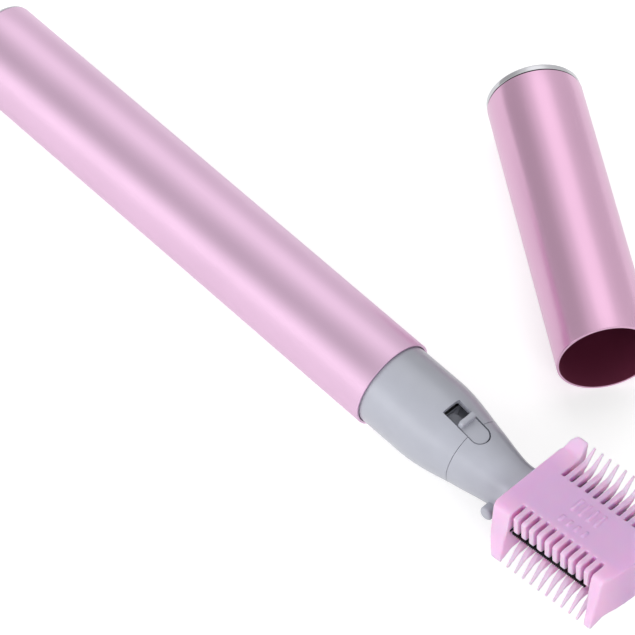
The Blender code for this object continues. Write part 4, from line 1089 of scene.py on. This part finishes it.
class TRIMMER_OT_works(bpy.types.Operator):
    """Battery, motor and drive inside the barrel"""

    bl_idname = "trimmer.works"
    bl_label = "Works"

    def execute(self, context):
        white = moulded("white_plastic", WHITE_PLASTIC)
        steel = ground_steel("bright_works_steel", WORKS_STEEL, stretch=(600, 6000, 6000))
        wire = ground_steel(
            "spring_steel", SPRING_STEEL, low=0.15, high=0.28, stretch=(900, 900, 900))
        copper = ground_steel("copper", COPPER, low=0.22, high=0.38, stretch=(2500, 2500, 2500))
        rubber = moulded("black_rubber", RUBBER, grain_height=0.000008, low=0.6, high=0.8)
        give(
            white, "battery_chassis", "motor_end_cap", "eccentric_cam", "drive_lever",
            "cutter_driver")
        give(steel, "motor_can", "motor_shaft", "lever_pivot", "spring_plate")
        give(wire, "battery_spring")
        give(copper, "motor_armature", "switch_contact", "positive_contact")
        give(rubber, "retaining_ring")
        give(jacket("battery_film"), "battery_cell")
        return {"FINISHED"}


def give(material, *nodes):
    """Show these solids as they are, with the finish."""
    for name in nodes:
        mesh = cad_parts[name].data
        mesh.materials.clear()
        mesh.materials.append(material)


class TRIMMER_OT_stage(bpy.types.Operator):
    """Pale floor, soft studio lamps, world and camera"""

    bl_idname = "trimmer.stage"
    bl_label = "Stage"

    def execute(self, context):
        self.add_floor()
        self.add_world()
        self.add_camera()
        self.add_lamps()
        context.scene.view_settings.view_transform = "Standard"
        return {"FINISHED"}

    def add_camera(self):
        """A far camera with a long lens, turned a little about its own axis."""
        rise, around, roll = (math.radians(angle) for angle in CAMERA_ANGLES)
        back = Vector((
            math.cos(rise) * math.sin(around), -math.cos(rise) * math.cos(around),
            math.sin(rise)))
        right = Vector((math.cos(around), math.sin(around), 0))
        up = back.cross(right)
        right, up = (
            right * math.cos(roll) + up * math.sin(roll),
            up * math.cos(roll) - right * math.sin(roll))
        lie = Matrix((right, up, back)).transposed().to_4x4()
        lie.translation = Vector(CAMERA_AIM) + back * CAMERA_AWAY
        data = bpy.data.cameras.new("camera")
        data.sensor_width = SENSOR
        data.lens = FOCAL_PIXELS / IMAGE_SIDE * data.sensor_width
        data.clip_start = NEAREST
        camera = linked("camera", data)
        camera.matrix_world = lie
        bpy.context.scene.camera = camera

    def add_lamps(self):
        """Soft lamps that glossy surfaces don't mirror."""
        for name, aim, away, side, watts in lamps:
            data = bpy.data.lights.new(name, "AREA")
            data.shape = "RECTANGLE"
            data.size, data.size_y = side
            data.energy = watts
            lamp = linked(name, data)
            lamp.visible_glossy = False
            aim = Vector(aim).normalized()
            lamp.matrix_world = Matrix.Translation(Vector(LAMPS_CENTRE) + aim * away) @ (
                aim.to_track_quat("Z", "Y").to_matrix().to_4x4())

    def add_floor(self):
        """A pale floor that looks white to the camera, keeps the shadow and mirrors darker."""
        share = np.linspace(-FLOOR_HALF, FLOOR_HALF, FLOOR_CORNERS)
        x, y = np.meshgrid(share, share, indexing="ij")
        points = np.stack((x, y, np.full_like(x, FLOOR_LEVEL - FLOOR_DROP)), axis=-1)
        index = np.arange(FLOOR_CORNERS ** 2).reshape(FLOOR_CORNERS, FLOOR_CORNERS)
        faces = np.stack((index[:-1, :-1], index[1:, :-1], index[1:, 1:], index[:-1, 1:]), -1)
        mesh = bpy.data.meshes.new("floor")
        mesh.from_pydata(points.reshape(-1, 3).tolist(), [], faces.reshape(-1, 4).tolist())
        floor = linked("floor", mesh)
        material = bpy.data.materials.new("pale_floor")
        material.use_nodes = True
        tree = material.node_tree
        tree.nodes.remove(tree.nodes["Principled BSDF"])
        out = tree.nodes["Material Output"]
        diffuse = tree.nodes.new("ShaderNodeBsdfDiffuse")
        diffuse.inputs["Color"].default_value = FLOOR_GREY
        glow = tree.nodes.new("ShaderNodeEmission")
        add = tree.nodes.new("ShaderNodeAddShader")
        tree.links.new(diffuse.outputs[0], add.inputs[0])
        tree.links.new(glow.outputs[0], add.inputs[1])
        level = by_ray(tree, 0.0, FLOOR_MIRRORED, FLOOR_SEEN)
        tree.links.new(level, glow.inputs["Strength"])
        tree.links.new(add.outputs[0], out.inputs["Surface"])
        mesh.materials.append(material)

    def add_world(self):
        """Even soft light, a white backdrop, and for glossy surfaces a wall with patches."""
        world = bpy.data.worlds.new("studio")
        world.use_nodes = True
        tree = world.node_tree
        glow = tree.nodes["Background"]
        glow.inputs["Color"].default_value = (1, 1, 1, 1)
        sky = tree.nodes.new("ShaderNodeTexCoord").outputs["Generated"]
        level = by_ray(tree, DIFFUSE_SKY, self.sky_level(tree, sky), BACKDROP)
        tree.links.new(level, glow.inputs["Strength"])
        bpy.context.scene.world = world

    def sky_level(self, tree, sky):
        """What glossy surfaces see: an even wall with a few soft bright and dark patches."""
        level = WALL_LEVEL
        for aim, reach, gain in sky_patches:
            near = tree.nodes.new("ShaderNodeVectorMath")
            near.operation = "DOT_PRODUCT"
            near.inputs[1].default_value = Vector(aim).normalized()
            tree.links.new(sky, near.inputs[0])
            patch = tree.nodes.new("ShaderNodeMapRange")
            patch.interpolation_type = "SMOOTHSTEP"
            patch.inputs["From Min"].default_value = math.cos(math.radians(reach))
            patch.inputs["To Max"].default_value = gain
            tree.links.new(near.outputs["Value"], patch.inputs["Value"])
            total = tree.nodes.new("ShaderNodeMath")
            total.operation = "ADD"
            tree.links.new(patch.outputs["Result"], total.inputs[0])
            feed(tree, level, total.inputs[1])
            level = total.outputs[0]
        return level


def feed(tree, value, socket):
    """Set the socket to a number, or link it to a node's output."""
    if isinstance(value, float):
        socket.default_value = value
    else:
        tree.links.new(value, socket)


def by_ray(tree, matt, mirrored, seen):
    """One value for light on matt surfaces, one for mirroring ones, and one as it is seen."""
    rays = tree.nodes.new("ShaderNodeLightPath").outputs
    value = matt
    for kind, then in (("Glossy", mirrored), ("Transmission", seen), ("Camera", seen)):
        made = tree.nodes.new("ShaderNodeMix")
        made.data_type = "FLOAT"
        tree.links.new(rays[f"Is {kind} Ray"], made.inputs[0])
        feed(tree, value, made.inputs[2])
        feed(tree, then, made.inputs[3])
        value = made.outputs[0]
    return value


operators = (
    TRIMMER_OT_stage,
    TRIMMER_OT_barrel,
    TRIMMER_OT_cap,
    TRIMMER_OT_housing,
    TRIMMER_OT_switch,
    TRIMMER_OT_comb,
    TRIMMER_OT_blades,
    TRIMMER_OT_works,
)


class TRIMMER_PT_sidebar(bpy.types.Panel):
    """Lists the trimmer's pieces, sizes and colours"""

    bl_idname = "TRIMMER_PT_sidebar"
    bl_label = "Eyebrow Trimmer"
    bl_space_type = "VIEW_3D"
    bl_region_type = "UI"
    bl_category = SIDEBAR_TAB

    def draw(self, context):
        for group in (context.scene.trimmer_sizes, context.scene.trimmer_colours):
            column = self.layout.column(align=True)
            for name in group.__annotations__:
                column.prop(group, name)
        for operator in operators:
            self.layout.operator(operator.bl_idname)


classes = (TrimmerSizes, TrimmerColours, *operators, TRIMMER_PT_sidebar)


def register():
    for item in classes:
        bpy.utils.register_class(item)
    bpy.types.Scene.trimmer_sizes = bpy.props.PointerProperty(type=TrimmerSizes)
    bpy.types.Scene.trimmer_colours = bpy.props.PointerProperty(type=TrimmerColours)


def unregister():
    del bpy.types.Scene.trimmer_colours
    del bpy.types.Scene.trimmer_sizes
    for item in reversed(classes):
        bpy.utils.unregister_class(item)


def main():
    """Register the tools and build every piece."""
    register()
    for operator in operators:
        group, name = operator.bl_idname.split(".")
        getattr(getattr(bpy.ops, group), name)()


if __name__ == "__main__":
    main()
